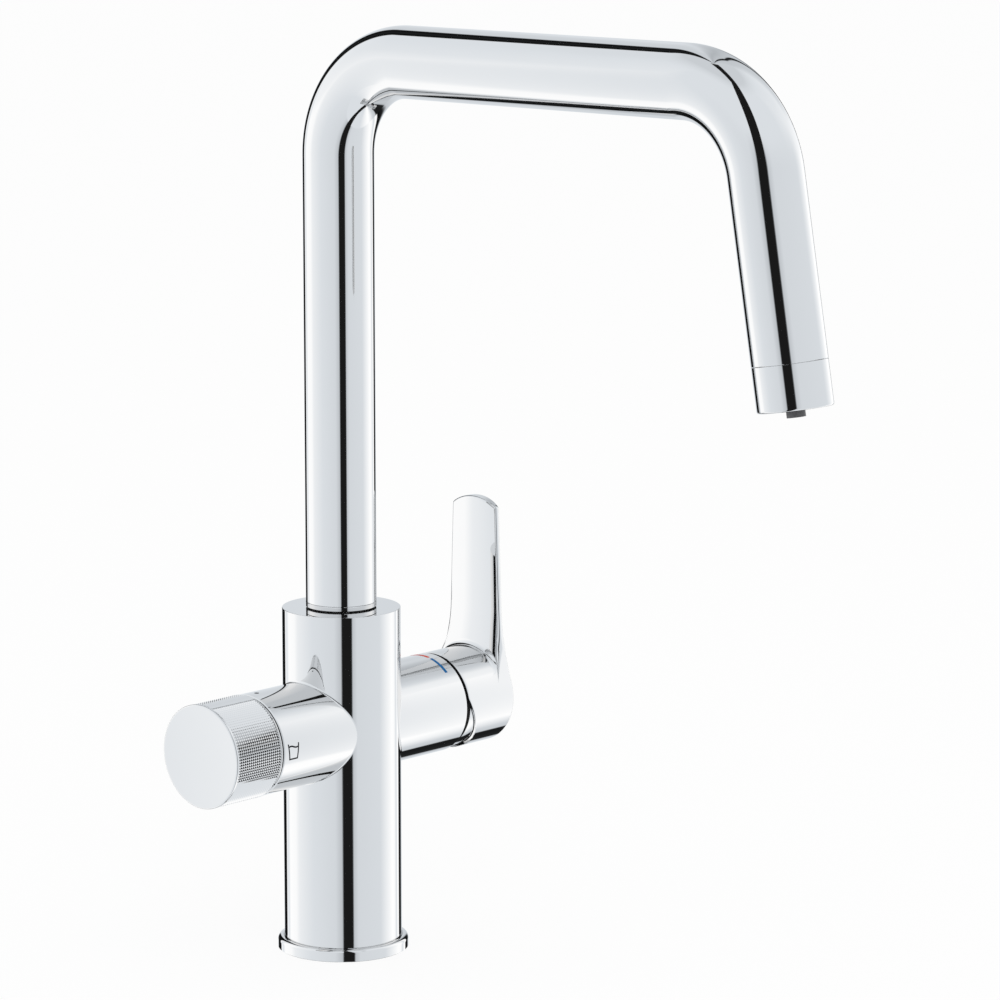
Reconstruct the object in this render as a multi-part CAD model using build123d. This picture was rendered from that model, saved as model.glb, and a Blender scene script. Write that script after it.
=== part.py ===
from build123d import *
import math
import os

# Kitchen tap with a mixer lever and a second handle for filtered water.
# Millimetres, +Z up. The origin is on the column's axis, at the deck of the sink.
# The spout points along -Y, the filter knob along -X and the mixer lever along +X.

# Clearances shared by all fits
slip_gap = 0.05  # radial, between a turning piece and the bore that guides it
seat_gap = 0.02  # radial, between pieces that never move against each other
free_gap = 0.3  # between moving faces that don't guide each other

# Column and its foot
column_r = 23.5
column_h = 138.5
column_rim = 0.6
foot_r = 21.8
base_ring_r = 26.1
base_ring_h = 4.8
base_ring_round = 1.8
base_ring_lip = 0.5
base_ledge_h = 1.8
seal_mean_r = 24.0
seal_w = 1.8
seal_h = 1.0

# Side necks
control_z = 91.0
neck_r = 20.15
neck_rim = 0.35
lever_neck_x = 52.1
filter_neck_x = 52.7

# Inlet ports in the underside, on one circle, and the hole for the fixing stud
port_circle_r = 12.2
port_r = 4.6
port_depth = 11.0
hot_port_angle = 45.0
cold_port_angle = -45.0
filter_port_angle = 160.0
stud_angle = 230.0
stud_r = 3.4
stud_depth = 18.0
duct_r = 3.0

# Swivel of the spout in the column's top
swivel_bore_r = 11.05
swivel_depth = 34.5
nipple_len = 30.0
washer_h = 0.5
washer_r = 13.2
stub_r = 4.0
stub_len = 8.5
stub_sump = 5.0
filter_bore_r = 2.2
mixed_bore_r = 2.0
mixed_bore_offset = 5.6
mixed_bore_count = 4
adaptor_plug_len = 12.0
hose_spigot_len = 10.0
swivel_cord_r = 1.0
swivel_ring_pitch = 4.0
lower_o_ring_up = 6.5
glide_ring_t = 0.9
glide_ring_w = 3.0
glide_ring_split = 1.2
lower_glide_up = 2.3
upper_glide_up = 25.0
stub_cord_r = 0.8
stub_ring_up = 4.5

# Grub screw that keeps the spout in and stops its swing
spout_swing = 75.0
stop_screw_up = 17.0
stop_screw_r = 2.5
stop_screw_len = 8.0
stop_dog_r = 1.5
stop_groove_depth = 1.65
stop_play_angle = 1.0
hex_key_r = 1.45
hex_key_depth = 2.5

# Spout tube: up, forward, and down at a slant
spout_r = 14.0
spout_wall = 1.5
foot_collar_h = 1.8
foot_collar_line = 0.15
arm_z = 355.4
arm_reach = 206.7
bend_r = 37.5
leg_tilt = 10.0
leg_len = 99.2

# Outlet at the end of the leg
outlet_line = 0.15
outlet_len = 16.85
outlet_round = 0.8
outlet_thread_r = 11.0
outlet_thread_len = 8.0
outlet_bore_r = 9.6
outlet_shoulder = 5.0
aerator_r = 12.15
aerator_recess = 0.6
aerator_seal_h = 1.0
aerator_wall = 1.4
aerator_plate_h = 3.0
aerator_hub_r = 5.2
inner_jet_count = 12
inner_jet_r = 0.75
inner_jet_circle_r = 6.5
outer_jet_count = 18
outer_jet_r = 0.8
outer_jet_circle_r = 9.1
nozzle_r = 3.5
nozzle_bore_r = 1.8
nozzle_proud = 2.8
nozzle_shoulder_up = 18.0
nozzle_cord_r = 0.6

# Inner tube that keeps the filtered water apart
hose_r = 4.0
hose_bore_r = 3.0

# Filter headpart in the left neck; places are counted outwards from the column's axis
filter_seat = 26.0
headpart_bore_r = 10.4
headpart_bore_len = 15.0
knob_pocket_r = 14.0
seat_seal_h = 1.2
seat_seal_r = 7.5
seat_hole_r = 4.5
headpart_nose_r = 8.0
headpart_nose_len = 6.8
headpart_wall = 1.7
headpart_hex_r = 13.7
headpart_hex_h = 5.0
headpart_neck_r = 7.5
headpart_neck_h = 5.0
filter_disc_h = 2.5
disc_gap = 0.05
disc_port_r = 1.7
disc_port_offset = 3.4
window_w = 6.0
window_h = 3.0
spindle_r = 4.0
spindle_waist_r = 2.6
spindle_waist_h = 1.7
spindle_collar_h = 8.3
drive_key_w = 2.0
drive_key_len = 8.0
drive_key_h = 0.8
filter_turn = 90.0
stop_lug_half = 20.0
stop_lug_h = 3.0
stop_lug_rise = 1.7
spindle_cord_r = 0.8
circlip_r = 6.0
circlip_t = 0.9
circlip_groove = 0.7
circlip_split = 3.0
spline_len = 10.5
spline_groove_r = 0.35
spline_count = 20
filter_outlet_up = 8.3
filter_outlet_r = 1.9

# Filter knob
knob_gap = 0.7
knob_len = 25.1
knob_r = 20.45
knob_relief = 0.12
knob_back_rim = 1.0
knob_cap_rim = 1.2
knob_cap_round = 0.6
knob_bore_r = 17.6
knob_cap_plug = 3.0
knob_web_h = 4.0
knob_pocket_h = 1.8
knob_boss_r = 9.0
knob_boss_len = 12.0
adaptor_r = 7.0
adaptor_head_h = 2.5
index_stripe_w = 2.6
knob_screw_r = 2.0
knob_screw_reach = 8.0
knob_screw_head_r = 3.8
knob_screw_head_h = 2.5

# Mixer cartridge in the right neck; places are counted outwards from the column's axis
cartridge_seat = 32.0
cartridge_r = 14.0
cartridge_wall = 1.3
cartridge_len = 15.5
cartridge_top_h = 2.0
cartridge_neck_r = 10.4
cartridge_neck_wall = 1.4
cartridge_neck_h = 14.0
cartridge_base_h = 3.0
cartridge_flange_h = 1.6
port_seal_r = 3.9
port_seal_h = 1.2
inlet_hole_r = 2.4
inlet_side = 5.6
inlet_up = 3.0
outlet_hole_r = 2.3
outlet_down = 7.0
fixed_disc_r = 12.5
fixed_disc_h = 2.6
moving_disc_r = 10.3
moving_disc_h = 2.5
mixing_pocket_rim = 1.6
mixing_pocket_top = 2.1
mixing_pocket_depth = 1.4
carrier_h = 3.0
carrier_peg_r = 1.2
carrier_peg_side = 7.0
carrier_peg_h = 0.8
cup_r = 3.0
cup_len = 6.85
cup_gap = 0.1
rotor_flange_r = 12.2
rotor_flange_h = 2.1
rotor_slot_w = 7.2
rotor_slot_h = 14.8
rotor_slot_front_h = 11.6
rotor_cord_r = 0.45
rotor_proud = 0.5
mixed_duct_x = 7.8
nut_thread_r = 16.45
nut_thread_len = 4.6
nut_collar_r = 14.8
nut_collar_len = 4.9
nut_bore_gap = 0.1

# Mixer lever, its stem, and the domed cover that it tilts over
tilt_x = 58.5
lever_tilt = 24.0
stem_w = 7.0
stem_tail = 10.0
stem_ball_r = 2.0
stem_neck_r = 1.4
stem_square_back = 3.5
stem_front = 17.7
pivot_pin_r = 1.5
pivot_pin_len = 17.2
dome_r = 19.2
dome_wall = 1.6
dome_front = 6.5
dome_opening_r = 12.6
dome_line = 0.3
hub_r = 20.15
hub_back = 53.4
hub_end = 80.0
hub_end_crown = 4.0
hub_cut_up = 4.0
hub_boss_r = 8.0
hub_boss_back = 66.1
hub_socket_end = 76.5
blade_top_z = 172.9
blade_top_r = 21.0
blade_top_half_w = 12.1
blade_taper = 1.9
blade_flare_r = 100.0
blade_corner_r = 1.4
blade_inner_x = 78.3
blade_inner_turn = 12.0
blade_root_r = 65.0
blade_root_z = 126.0
blade_tip_crown = 1.5
blade_spare_w = 2.0
blade_section_count = 9
lever_screw_x = 71.5
lever_screw_r = 2.5
lever_screw_len = 5.4
plug_r = 3.0
plug_len = 3.2

# Marks let into the necks
mark_depth = 0.3
arc_mark_x = 46.3
arc_mark_w = 1.0
arc_mark_half = 14.0
hot_mark_angle = -3.5
cold_mark_angle = 28.0
side_mark_out = 47.6
dot_mark_r = 1.0
glass_mark_h = 6.4
glass_mark_top_w = 5.0
glass_mark_foot_w = 3.9
glass_mark_line = 0.55
glass_wave_down = 1.3
glass_wave_rise = 0.35

# Places that follow from the sizes
neck_seat_r = neck_r - mark_depth
swivel_floor_z = column_h - swivel_depth
nipple_r = swivel_bore_r - slip_gap
collar_z = column_h + washer_h
nipple_end_z = collar_z - nipple_len
plug_z = collar_z + foot_collar_h
tube_foot_z = plug_z + foot_collar_line
plug_end_z = tube_foot_z + adaptor_plug_len
stub_end_z = nipple_end_z - stub_len
stub_floor_z = stub_end_z - stub_sump
stop_z = nipple_end_z + stop_screw_up
spout_bore_r = spout_r - spout_wall
hose_spigot_r = hose_bore_r - seat_gap
outlet_start = leg_len + outlet_line
outlet_end = outlet_start + outlet_len
shoulder_place = outlet_start + outlet_shoulder
aerator_start = shoulder_place + aerator_seal_h
aerator_end = outlet_end - aerator_recess
nozzle_tip = outlet_end + nozzle_proud
nozzle_shoulder = nozzle_tip - nozzle_shoulder_up
thread_start = filter_seat + seat_seal_h + headpart_nose_len
headpart_shoulder = filter_seat + headpart_bore_len
headpart_hex_end = headpart_shoulder + headpart_hex_h
headpart_end = headpart_hex_end + headpart_neck_h
fixed_filter_disc = filter_seat + seat_seal_h
moving_filter_disc = fixed_filter_disc + filter_disc_h + disc_gap
spindle_start = moving_filter_disc + filter_disc_h
spindle_shoulder = spindle_start + spindle_collar_h
disc_chamber_r = headpart_nose_r - headpart_wall
circlip_place = headpart_end + seat_gap
spline_start = circlip_place + circlip_t + circlip_groove
spindle_end = spline_start + spline_len
lug_start = thread_start + 2 * free_gap
knob_back = filter_neck_x + knob_gap
knob_face = knob_back + knob_len
knob_front = knob_face - knob_cap_rim
knob_pocket = knob_front - knob_cap_plug - knob_pocket_h
knob_web = knob_pocket - knob_web_h
knob_boss_end = knob_web - knob_boss_len
adaptor_start = knob_boss_end - free_gap
cap_plug_r = knob_bore_r
cartridge_end = cartridge_seat + cartridge_len
cartridge_neck_end = cartridge_end + cartridge_neck_h
cartridge_inner_r = cartridge_r - cartridge_wall
neck_bore_r = cartridge_neck_r - cartridge_neck_wall
fixed_disc_place = cartridge_seat + cartridge_base_h
moving_disc_place = fixed_disc_place + fixed_disc_h + disc_gap
carrier_place = moving_disc_place + moving_disc_h
rotor_place = carrier_place + carrier_h + 2 * slip_gap
rotor_end = cartridge_neck_end + rotor_proud
barrel_r = neck_bore_r - slip_gap
disc_travel = stem_tail * math.sin(math.radians(lever_tilt))
disc_rest_down = disc_travel / 2
ball_place = tilt_x - stem_tail
cup_start = carrier_place + carrier_h
cup_end = cup_start + cup_len
rotor_ring_place = cup_end + 2 * free_gap + 2 * rotor_cord_r
cup_bore_r = stem_ball_r + cup_gap
hub_bore_r = dome_r + free_gap
dome_back = lever_neck_x + dome_line
stem_end = tilt_x + stem_front


def rod(radius, start, end):
    return Pos(0, 0, (start + end) / 2) * Cylinder(radius, end - start)


def pipe(outer, inner, start, end):
    return rod(outer, start, end) - rod(inner, start, end)


def sector(outer, inner, start, end, middle, half):
    # A part of a pipe, around the angle called middle
    profile = Pos((outer + inner) / 2, 0, (start + end) / 2) * Rot(90, 0, 0) * Rectangle(outer - inner, end - start)
    return Rot(0, 0, middle - half) * revolve(profile, Axis.Z, 2 * half)


def bar(width, height, start, end):
    return Pos(0, 0, (start + end) / 2) * Box(height, width, end - start)


def ring_centre_r(bore_r, cord_r):
    return bore_r - seat_gap - cord_r


def o_ring(bore_r, cord_r, place):
    return Pos(0, 0, place) * Torus(ring_centre_r(bore_r, cord_r), cord_r)


def o_ring_groove(bore_r, cord_r, place):
    floor_r = ring_centre_r(bore_r, cord_r) - cord_r - seat_gap
    half_w = cord_r + seat_gap
    return pipe(bore_r, floor_r, place - half_w, place + half_w)


def hex_socket(start, end):
    return Pos(0, 0, start) * extrude(RegularPolygon(hex_key_r, 6), end - start)


def outwards_right(shape):
    # Local +Z becomes +X on the control axis, and local +X becomes down
    return Pos(0, 0, control_z) * Rot(0, 90, 0) * shape


def outwards_left(shape):
    # Local +Z becomes -X on the control axis, and local +X becomes up
    return Pos(0, 0, control_z) * Rot(0, -90, 0) * shape


def outwards_back(shape, height):
    return Pos(0, 0, height) * Rot(-90, 0, 0) * shape


def down_leg(shape):
    # Local +Z runs down the spout's leg from the corner where it leaves the arm
    return Pos(0, -arm_reach, arm_z) * Rot(180 - leg_tilt, 0, 0) * shape


def on_port_circle(shape, angle):
    turn = math.radians(angle)
    return Pos(port_circle_r * math.cos(turn), port_circle_r * math.sin(turn), 0) * shape


def solids(shape):
    parts = shape.solids()
    return parts[0] if len(parts) == 1 else Compound(children=list(parts))


# Column


def water_ways():
    hot_x = port_circle_r * math.cos(math.radians(hot_port_angle))
    inlet_z = control_z + inlet_up
    mixed_z = control_z - outlet_down
    hot = on_port_circle(rod(duct_r, port_depth, inlet_z + inlet_hole_r), hot_port_angle)
    cold = on_port_circle(rod(duct_r, port_depth, inlet_z + inlet_hole_r), cold_port_angle)
    filtered = on_port_circle(rod(duct_r, port_depth, control_z - duct_r / 2), filter_port_angle)
    across = rod(inlet_hole_r, hot_x, cartridge_seat)
    hot_across = outwards_right(Pos(-inlet_up, inlet_side, 0) * across)
    cold_across = outwards_right(Pos(-inlet_up, -inlet_side, 0) * across)
    mixed_across = outwards_right(Pos(outlet_down, 0, 0) * rod(outlet_hole_r, mixed_duct_x, cartridge_seat))
    mixed_up = Pos(mixed_duct_x, 0, 0) * rod(outlet_hole_r, mixed_z, swivel_floor_z)
    filter_x = -port_circle_r * math.cos(math.radians(filter_port_angle))
    to_headpart = outwards_left(rod(seat_hole_r, filter_x - seat_hole_r, filter_seat))
    from_headpart = Pos(filter_outlet_up, 0, 0) * rod(filter_outlet_r, 0, filter_seat)
    inlets = [hot, cold, filtered, hot_across, cold_across, to_headpart]
    return inlets + [mixed_across, mixed_up, outwards_left(from_headpart)]


def body_column():
    column = rod(column_r, base_ledge_h, column_h) + rod(foot_r, 0, base_ledge_h)
    column = chamfer(column.edges().group_by(Axis.Z)[-1], column_rim)
    right_neck = rod(neck_r, 0, lever_neck_x)
    right_neck = chamfer(right_neck.edges().group_by(Axis.Z)[-1], neck_rim)
    left_neck = rod(neck_r, 0, filter_neck_x)
    left_neck = chamfer(left_neck.edges().group_by(Axis.Z)[-1], neck_rim)
    body = column + outwards_right(right_neck) + outwards_left(left_neck)
    body -= rod(swivel_bore_r, swivel_floor_z, column_h)
    body -= rod(stub_r + slip_gap, stub_floor_z, swivel_floor_z)
    body -= outwards_right(rod(cartridge_r + slip_gap, cartridge_seat, cartridge_end))
    body -= outwards_right(rod(nut_thread_r, cartridge_end, lever_neck_x))
    body -= outwards_left(rod(headpart_bore_r, filter_seat, headpart_shoulder))
    body -= outwards_left(rod(knob_pocket_r, headpart_shoulder, filter_neck_x))
    for angle in (hot_port_angle, cold_port_angle, filter_port_angle):
        body -= on_port_circle(rod(port_r, 0, port_depth), angle)
    body -= on_port_circle(rod(stud_r, 0, stud_depth), stud_angle)
    for way in water_ways():
        body -= way
    body -= outwards_back(rod(stop_screw_r, swivel_bore_r - 1, column_r), stop_z)
    for mark in (hot_mark(), cold_mark(), off_mark(), glass_mark()):
        body -= mark
    return body


def base_ring():
    ring = rod(base_ring_r, 0, base_ring_h)
    ring = fillet(ring.edges().group_by(Axis.Z)[-1], base_ring_round)
    ring -= rod(foot_r + seat_gap, 0, base_ledge_h)
    ring -= rod(column_r + seat_gap, base_ledge_h, base_ring_h)
    lip_r = column_r + seat_gap
    ring -= Pos(0, 0, base_ring_h - base_ring_lip / 2) * Cone(lip_r, lip_r + base_ring_lip, base_ring_lip)
    half_w = seal_w / 2 + seat_gap
    return ring - pipe(seal_mean_r + half_w, seal_mean_r - half_w, 0, seal_h)


def base_seal():
    return pipe(seal_mean_r + seal_w / 2, seal_mean_r - seal_w / 2, 0, seal_h)


def arc_mark(angle):
    # The marks sit across the top of the neck, counted from the top towards the front
    start = arc_mark_x
    end = arc_mark_x + arc_mark_w
    return outwards_right(sector(neck_r, neck_seat_r, start, end, 180 + angle, arc_mark_half))


def hot_mark():
    return arc_mark(hot_mark_angle)


def cold_mark():
    return arc_mark(cold_mark_angle)


def left_neck_skin():
    return outwards_left(pipe(neck_r, neck_seat_r, 0, filter_neck_x))


def off_mark():
    dot = Pos(-side_mark_out, 0, 0) * rod(dot_mark_r, control_z, control_z + 2 * neck_r)
    return dot & left_neck_skin()


def glass_mark():
    top = glass_mark_h / 2
    half_top = glass_mark_top_w / 2
    half_foot = glass_mark_foot_w / 2
    wall = Polyline((-half_top, top), (-half_foot, -top), (half_foot, -top), (half_top, top))
    water_y = top - glass_wave_down
    water_half = half_top - glass_mark_line / 2
    crest = ThreePointArc((-water_half, water_y), (-water_half / 2, water_y + glass_wave_rise), (0, water_y))
    trough = ThreePointArc((0, water_y), (water_half / 2, water_y - glass_wave_rise), (water_half, water_y))
    drawing = trace(wall, glass_mark_line) + trace(crest, glass_mark_line) + trace(trough, glass_mark_line)
    stamp = extrude(drawing, 2 * neck_r)
    stamp = Pos(-side_mark_out, 0, control_z) * Rot(90, 0, 0) * stamp
    return stamp & left_neck_skin()


# Spout


def stop_screw():
    tip = swivel_bore_r - stop_groove_depth + 2 * slip_gap + free_gap
    start = swivel_bore_r + 2 * free_gap
    end = start + stop_screw_len
    screw = rod(stop_dog_r, tip, start) + rod(stop_screw_r - seat_gap, start, end)
    screw -= hex_socket(end - hex_key_depth, end)
    return outwards_back(screw, stop_z)


def glide_ring_height(number):
    up = lower_glide_up if number == 0 else upper_glide_up
    return nipple_end_z + up


def swivel_ring_height(number):
    return nipple_end_z + lower_o_ring_up + number * swivel_ring_pitch


def spout_adaptor():
    body = rod(nipple_r, nipple_end_z, collar_z)
    body += rod(spout_r, collar_z, plug_z)
    body += rod(spout_bore_r - seat_gap, plug_z, plug_end_z)
    body += rod(stub_r, stub_end_z, nipple_end_z)
    body += rod(hose_spigot_r, plug_end_z, plug_end_z + hose_spigot_len)
    body -= rod(filter_bore_r, stub_end_z, plug_end_z + hose_spigot_len)
    for number in range(mixed_bore_count):
        turn = Rot(0, 0, (number + 0.5) * 360 / mixed_bore_count)
        body -= turn * Pos(mixed_bore_offset, 0, 0) * rod(mixed_bore_r, nipple_end_z, plug_end_z)
    for number in range(2):
        body -= o_ring_groove(swivel_bore_r, swivel_cord_r, swivel_ring_height(number))
        half_w = glide_ring_w / 2 + seat_gap
        middle = glide_ring_height(number)
        floor_r = swivel_bore_r - glide_ring_t - 2 * seat_gap
        body -= pipe(swivel_bore_r, floor_r, middle - half_w, middle + half_w)
    body -= o_ring_groove(stub_r + slip_gap, stub_cord_r, stub_end_z + stub_ring_up)
    groove_floor = swivel_bore_r - stop_groove_depth
    half_h = stop_dog_r + free_gap
    half_turn = spout_swing + math.degrees(math.asin(stop_dog_r / groove_floor)) + stop_play_angle
    body -= sector(swivel_bore_r, groove_floor, stop_z - half_h, stop_z + half_h, 90, half_turn)
    return body


def spout_glide_washer():
    return pipe(washer_r, swivel_bore_r + seat_gap, column_h, collar_z)


def spout_glide_rings():
    outer = swivel_bore_r - seat_gap
    rings = []
    for number in range(2):
        middle = glide_ring_height(number)
        ring = pipe(outer, outer - glide_ring_t, middle - glide_ring_w / 2, middle + glide_ring_w / 2)
        split = Pos(outer, 0, middle) * Box(outer, glide_ring_split, 2 * glide_ring_w)
        rings.append(ring - split)
    return Compound(children=[ring.solid() for ring in rings])


def spout_o_rings():
    rings = [o_ring(swivel_bore_r, swivel_cord_r, swivel_ring_height(number)) for number in range(2)]
    return Compound(children=[ring.solid() for ring in rings])


def filter_stub_o_ring():
    return o_ring(stub_r + slip_gap, stub_cord_r, stub_end_z + stub_ring_up)


def leg_point(distance):
    tilt = math.radians(leg_tilt)
    return (0, -arm_reach - distance * math.sin(tilt), arm_z - distance * math.cos(tilt))


def spout_line(start_z, leg_end):
    points = [(0, 0, start_z), (0, 0, arm_z), (0, -arm_reach, arm_z), leg_point(leg_end)]
    return FilletPolyline(*points, radius=bend_r)


def spout_tube():
    section = Pos(0, 0, tube_foot_z) * (Circle(spout_r) - Circle(spout_bore_r))
    return sweep(section, spout_line(tube_foot_z, leg_len))


def filter_tube():
    start_z = plug_end_z + seat_gap
    section = Pos(0, 0, start_z) * (Circle(hose_r) - Circle(hose_bore_r))
    return sweep(section, spout_line(start_z, nozzle_shoulder - seat_gap))


def outlet_socket():
    length = outlet_thread_len + 2 * spout_wall
    socket = pipe(spout_bore_r - seat_gap, outlet_thread_r, leg_len - length, leg_len)
    return down_leg(socket)


def outlet_sleeve():
    sleeve = rod(spout_r, outlet_start, outlet_end)
    sleeve = fillet(sleeve.edges().group_by(Axis.Z)[-1], outlet_round)
    sleeve += rod(outlet_thread_r - seat_gap, outlet_start - outlet_thread_len, outlet_start)
    sleeve -= rod(outlet_bore_r, outlet_start - outlet_thread_len, shoulder_place)
    sleeve -= rod(aerator_r + seat_gap, shoulder_place, outlet_end)
    return down_leg(sleeve)


def aerator_seal():
    return down_leg(pipe(aerator_r, outlet_bore_r, shoulder_place, aerator_start))


def aerator():
    insert = rod(aerator_r, aerator_start, aerator_end)
    plate = aerator_end - aerator_plate_h
    insert -= pipe(aerator_r - aerator_wall, aerator_hub_r, aerator_start, plate)
    insert -= rod(nozzle_r + seat_gap, aerator_start, aerator_end)
    insert -= o_ring_seat(aerator_start)
    for count, jet_r, circle_r in (
        (inner_jet_count, inner_jet_r, inner_jet_circle_r),
        (outer_jet_count, outer_jet_r, outer_jet_circle_r),
    ):
        for number in range(count):
            turn = Rot(0, 0, number * 360 / count)
            insert -= turn * Pos(circle_r, 0, 0) * rod(jet_r, plate, aerator_end)
    return down_leg(insert)


def o_ring_seat(start):
    # Counterbore in the aerator's hub, above the nozzle's seal
    return rod(nozzle_r + 2 * nozzle_cord_r + seat_gap, start, start + 2 * nozzle_cord_r + seat_gap)


def nozzle_o_ring():
    centre_r = nozzle_r + nozzle_cord_r + seat_gap / 2
    return down_leg(Pos(0, 0, aerator_start + nozzle_cord_r + seat_gap / 2) * Torus(centre_r, nozzle_cord_r))


def filter_nozzle():
    nozzle = rod(nozzle_r, nozzle_shoulder, nozzle_tip)
    nozzle += rod(hose_spigot_r, nozzle_shoulder - hose_spigot_len, nozzle_shoulder)
    nozzle -= rod(nozzle_bore_r, nozzle_shoulder - hose_spigot_len, nozzle_tip)
    return down_leg(nozzle)


# Filter headpart and knob


def disc_ports(start, end):
    first = Pos(disc_port_offset, 0, 0) * rod(disc_port_r, start, end)
    return first + Rot(0, 0, 180) * first


def headpart_seat_seal():
    return outwards_left(pipe(seat_seal_r, seat_hole_r, filter_seat, fixed_filter_disc))


def headpart_fixed_disc():
    end = fixed_filter_disc + filter_disc_h
    disc = rod(disc_chamber_r - seat_gap, fixed_filter_disc, end)
    return outwards_left(disc - disc_ports(fixed_filter_disc, end))


def headpart_moving_disc():
    disc = rod(disc_chamber_r - slip_gap, moving_filter_disc, spindle_start)
    disc -= Rot(0, 0, 90) * disc_ports(moving_filter_disc, spindle_start)
    key_slot = bar(drive_key_w + 2 * seat_gap, drive_key_len + 2 * seat_gap, spindle_start - drive_key_h, spindle_start)
    return outwards_left(disc - key_slot)


def headpart_housing():
    housing = rod(headpart_nose_r, fixed_filter_disc, thread_start)
    housing += rod(headpart_bore_r - seat_gap, thread_start, headpart_shoulder)
    hexagon = extrude(RegularPolygon(headpart_hex_r, 6), headpart_hex_h)
    housing += Pos(0, 0, headpart_shoulder) * hexagon
    housing += rod(headpart_neck_r, headpart_hex_end, headpart_end)
    housing -= rod(disc_chamber_r, fixed_filter_disc, spindle_shoulder + free_gap)
    housing -= rod(spindle_r + slip_gap, spindle_shoulder, headpart_end)
    window_start = thread_start - window_h - slip_gap
    housing -= bar(2 * headpart_nose_r, window_w, window_start, window_start + window_h)
    stop_half = stop_lug_half + filter_turn / 2 + stop_play_angle
    lug_end = lug_start + stop_lug_h
    stop_r = disc_chamber_r + stop_lug_rise
    middle = 180 - filter_turn / 2
    housing -= sector(stop_r, disc_chamber_r - free_gap, lug_start - free_gap, lug_end + free_gap, middle, stop_half)
    return outwards_left(housing)


def spline_grooves(start, end, groove_r):
    grooves = []
    for number in range(spline_count):
        turn = Rot(0, 0, number * 360 / spline_count)
        grooves.append(turn * Pos(spindle_r, 0, 0) * rod(groove_r, start, end))
    return grooves


def valve_spindle():
    collar_r = disc_chamber_r - slip_gap
    spindle = rod(spindle_waist_r, spindle_start, spindle_start + spindle_waist_h)
    spindle += rod(collar_r, spindle_start + spindle_waist_h, spindle_shoulder)
    spindle += bar(drive_key_w, drive_key_len, spindle_start - drive_key_h, spindle_start)
    lug_r = disc_chamber_r + stop_lug_rise - free_gap
    spindle += sector(lug_r, spindle_r, lug_start, lug_start + stop_lug_h, 180, stop_lug_half)
    spindle += rod(spindle_r, spindle_shoulder, spindle_end)
    for place in spindle_ring_places():
        spindle -= o_ring_groove(spindle_r + slip_gap, spindle_cord_r, place)
    clip_end = circlip_place + circlip_t
    spindle -= pipe(spindle_r, spindle_r - circlip_groove, circlip_place - seat_gap, clip_end + seat_gap)
    for groove in spline_grooves(spline_start, spindle_end, spline_groove_r):
        spindle -= groove
    screw_hole = rod(knob_screw_r + seat_gap, spindle_end - knob_screw_reach - free_gap, spindle_end)
    return outwards_left(spindle - screw_hole)


def spindle_ring_places():
    third = (headpart_end - headpart_shoulder) / 3
    return [headpart_shoulder + third, headpart_end - third]


def spindle_o_rings():
    rings = [o_ring(spindle_r + slip_gap, spindle_cord_r, place) for place in spindle_ring_places()]
    return Compound(children=[outwards_left(ring).solid() for ring in rings])


def spindle_circlip():
    clip = pipe(circlip_r, spindle_r - circlip_groove + seat_gap, circlip_place, circlip_place + circlip_t)
    split = Pos(circlip_r, 0, circlip_place) * Box(2 * spindle_r, circlip_split, 2 * circlip_t + 1)
    return outwards_left(clip - split)


def knob_sleeve():
    sleeve = rod(knob_r - knob_relief, knob_back, knob_front)
    sleeve += rod(knob_r, knob_back, knob_back + knob_back_rim)
    stripe = bar(index_stripe_w, knob_r, knob_back, knob_front)
    sleeve += (Pos(knob_r / 2, 0, 0) * stripe) & rod(knob_r, knob_back, knob_front)
    sleeve -= rod(knob_bore_r, knob_back, knob_web)
    sleeve -= rod(cap_plug_r + seat_gap, knob_pocket, knob_front)
    sleeve += rod(knob_boss_r, knob_boss_end, knob_web)
    sleeve -= rod(adaptor_r + seat_gap, knob_boss_end, knob_web)
    sleeve -= rod(knob_screw_r + free_gap, knob_web, knob_pocket)
    return outwards_left(sleeve)


def knob_cap():
    cap = rod(knob_r, knob_front, knob_face)
    cap = fillet(cap.edges().group_by(Axis.Z)[-1], knob_cap_round)
    cap += rod(cap_plug_r, knob_front - knob_cap_plug, knob_front)
    cap -= rod(knob_screw_head_r + knob_pocket_h, knob_front - knob_cap_plug, knob_front)
    return outwards_left(cap)


def knob_adaptor():
    adaptor = rod(adaptor_r, adaptor_start, knob_web)
    core = rod(spindle_r + seat_gap, adaptor_start, spindle_end + seat_gap)
    for groove in spline_grooves(adaptor_start, spindle_end + seat_gap, spline_groove_r - seat_gap):
        core -= groove
    adaptor -= core
    adaptor -= rod(knob_screw_r + free_gap, spindle_end, knob_web)
    return outwards_left(adaptor)


def knob_screw():
    screw = rod(knob_screw_head_r, knob_pocket, knob_pocket + knob_screw_head_h)
    screw += rod(knob_screw_r, spindle_end - knob_screw_reach, knob_pocket)
    screw -= hex_socket(knob_pocket + knob_screw_head_h - hex_key_depth / 2, knob_pocket + knob_screw_head_h)
    return outwards_left(screw)


# Mixer cartridge


def at_cartridge_ports(shape_in, shape_out):
    hot = Pos(-inlet_up, inlet_side, 0) * shape_in
    cold = Pos(-inlet_up, -inlet_side, 0) * shape_in
    mixed = Pos(outlet_down, 0, 0) * shape_out
    return [hot, cold, mixed]


def cartridge_base():
    flange_end = cartridge_seat + cartridge_flange_h
    base = rod(cartridge_r, cartridge_seat, flange_end)
    base += rod(cartridge_inner_r - seat_gap, flange_end, fixed_disc_place)
    through_in = rod(inlet_hole_r, cartridge_seat, fixed_disc_place)
    through_out = rod(outlet_hole_r, cartridge_seat, fixed_disc_place)
    for hole in at_cartridge_ports(through_in, through_out):
        base -= hole
    pocket = rod(port_seal_r + seat_gap, cartridge_seat, cartridge_seat + port_seal_h)
    for hole in at_cartridge_ports(pocket, pocket):
        base -= hole
    return outwards_right(base)


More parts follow.
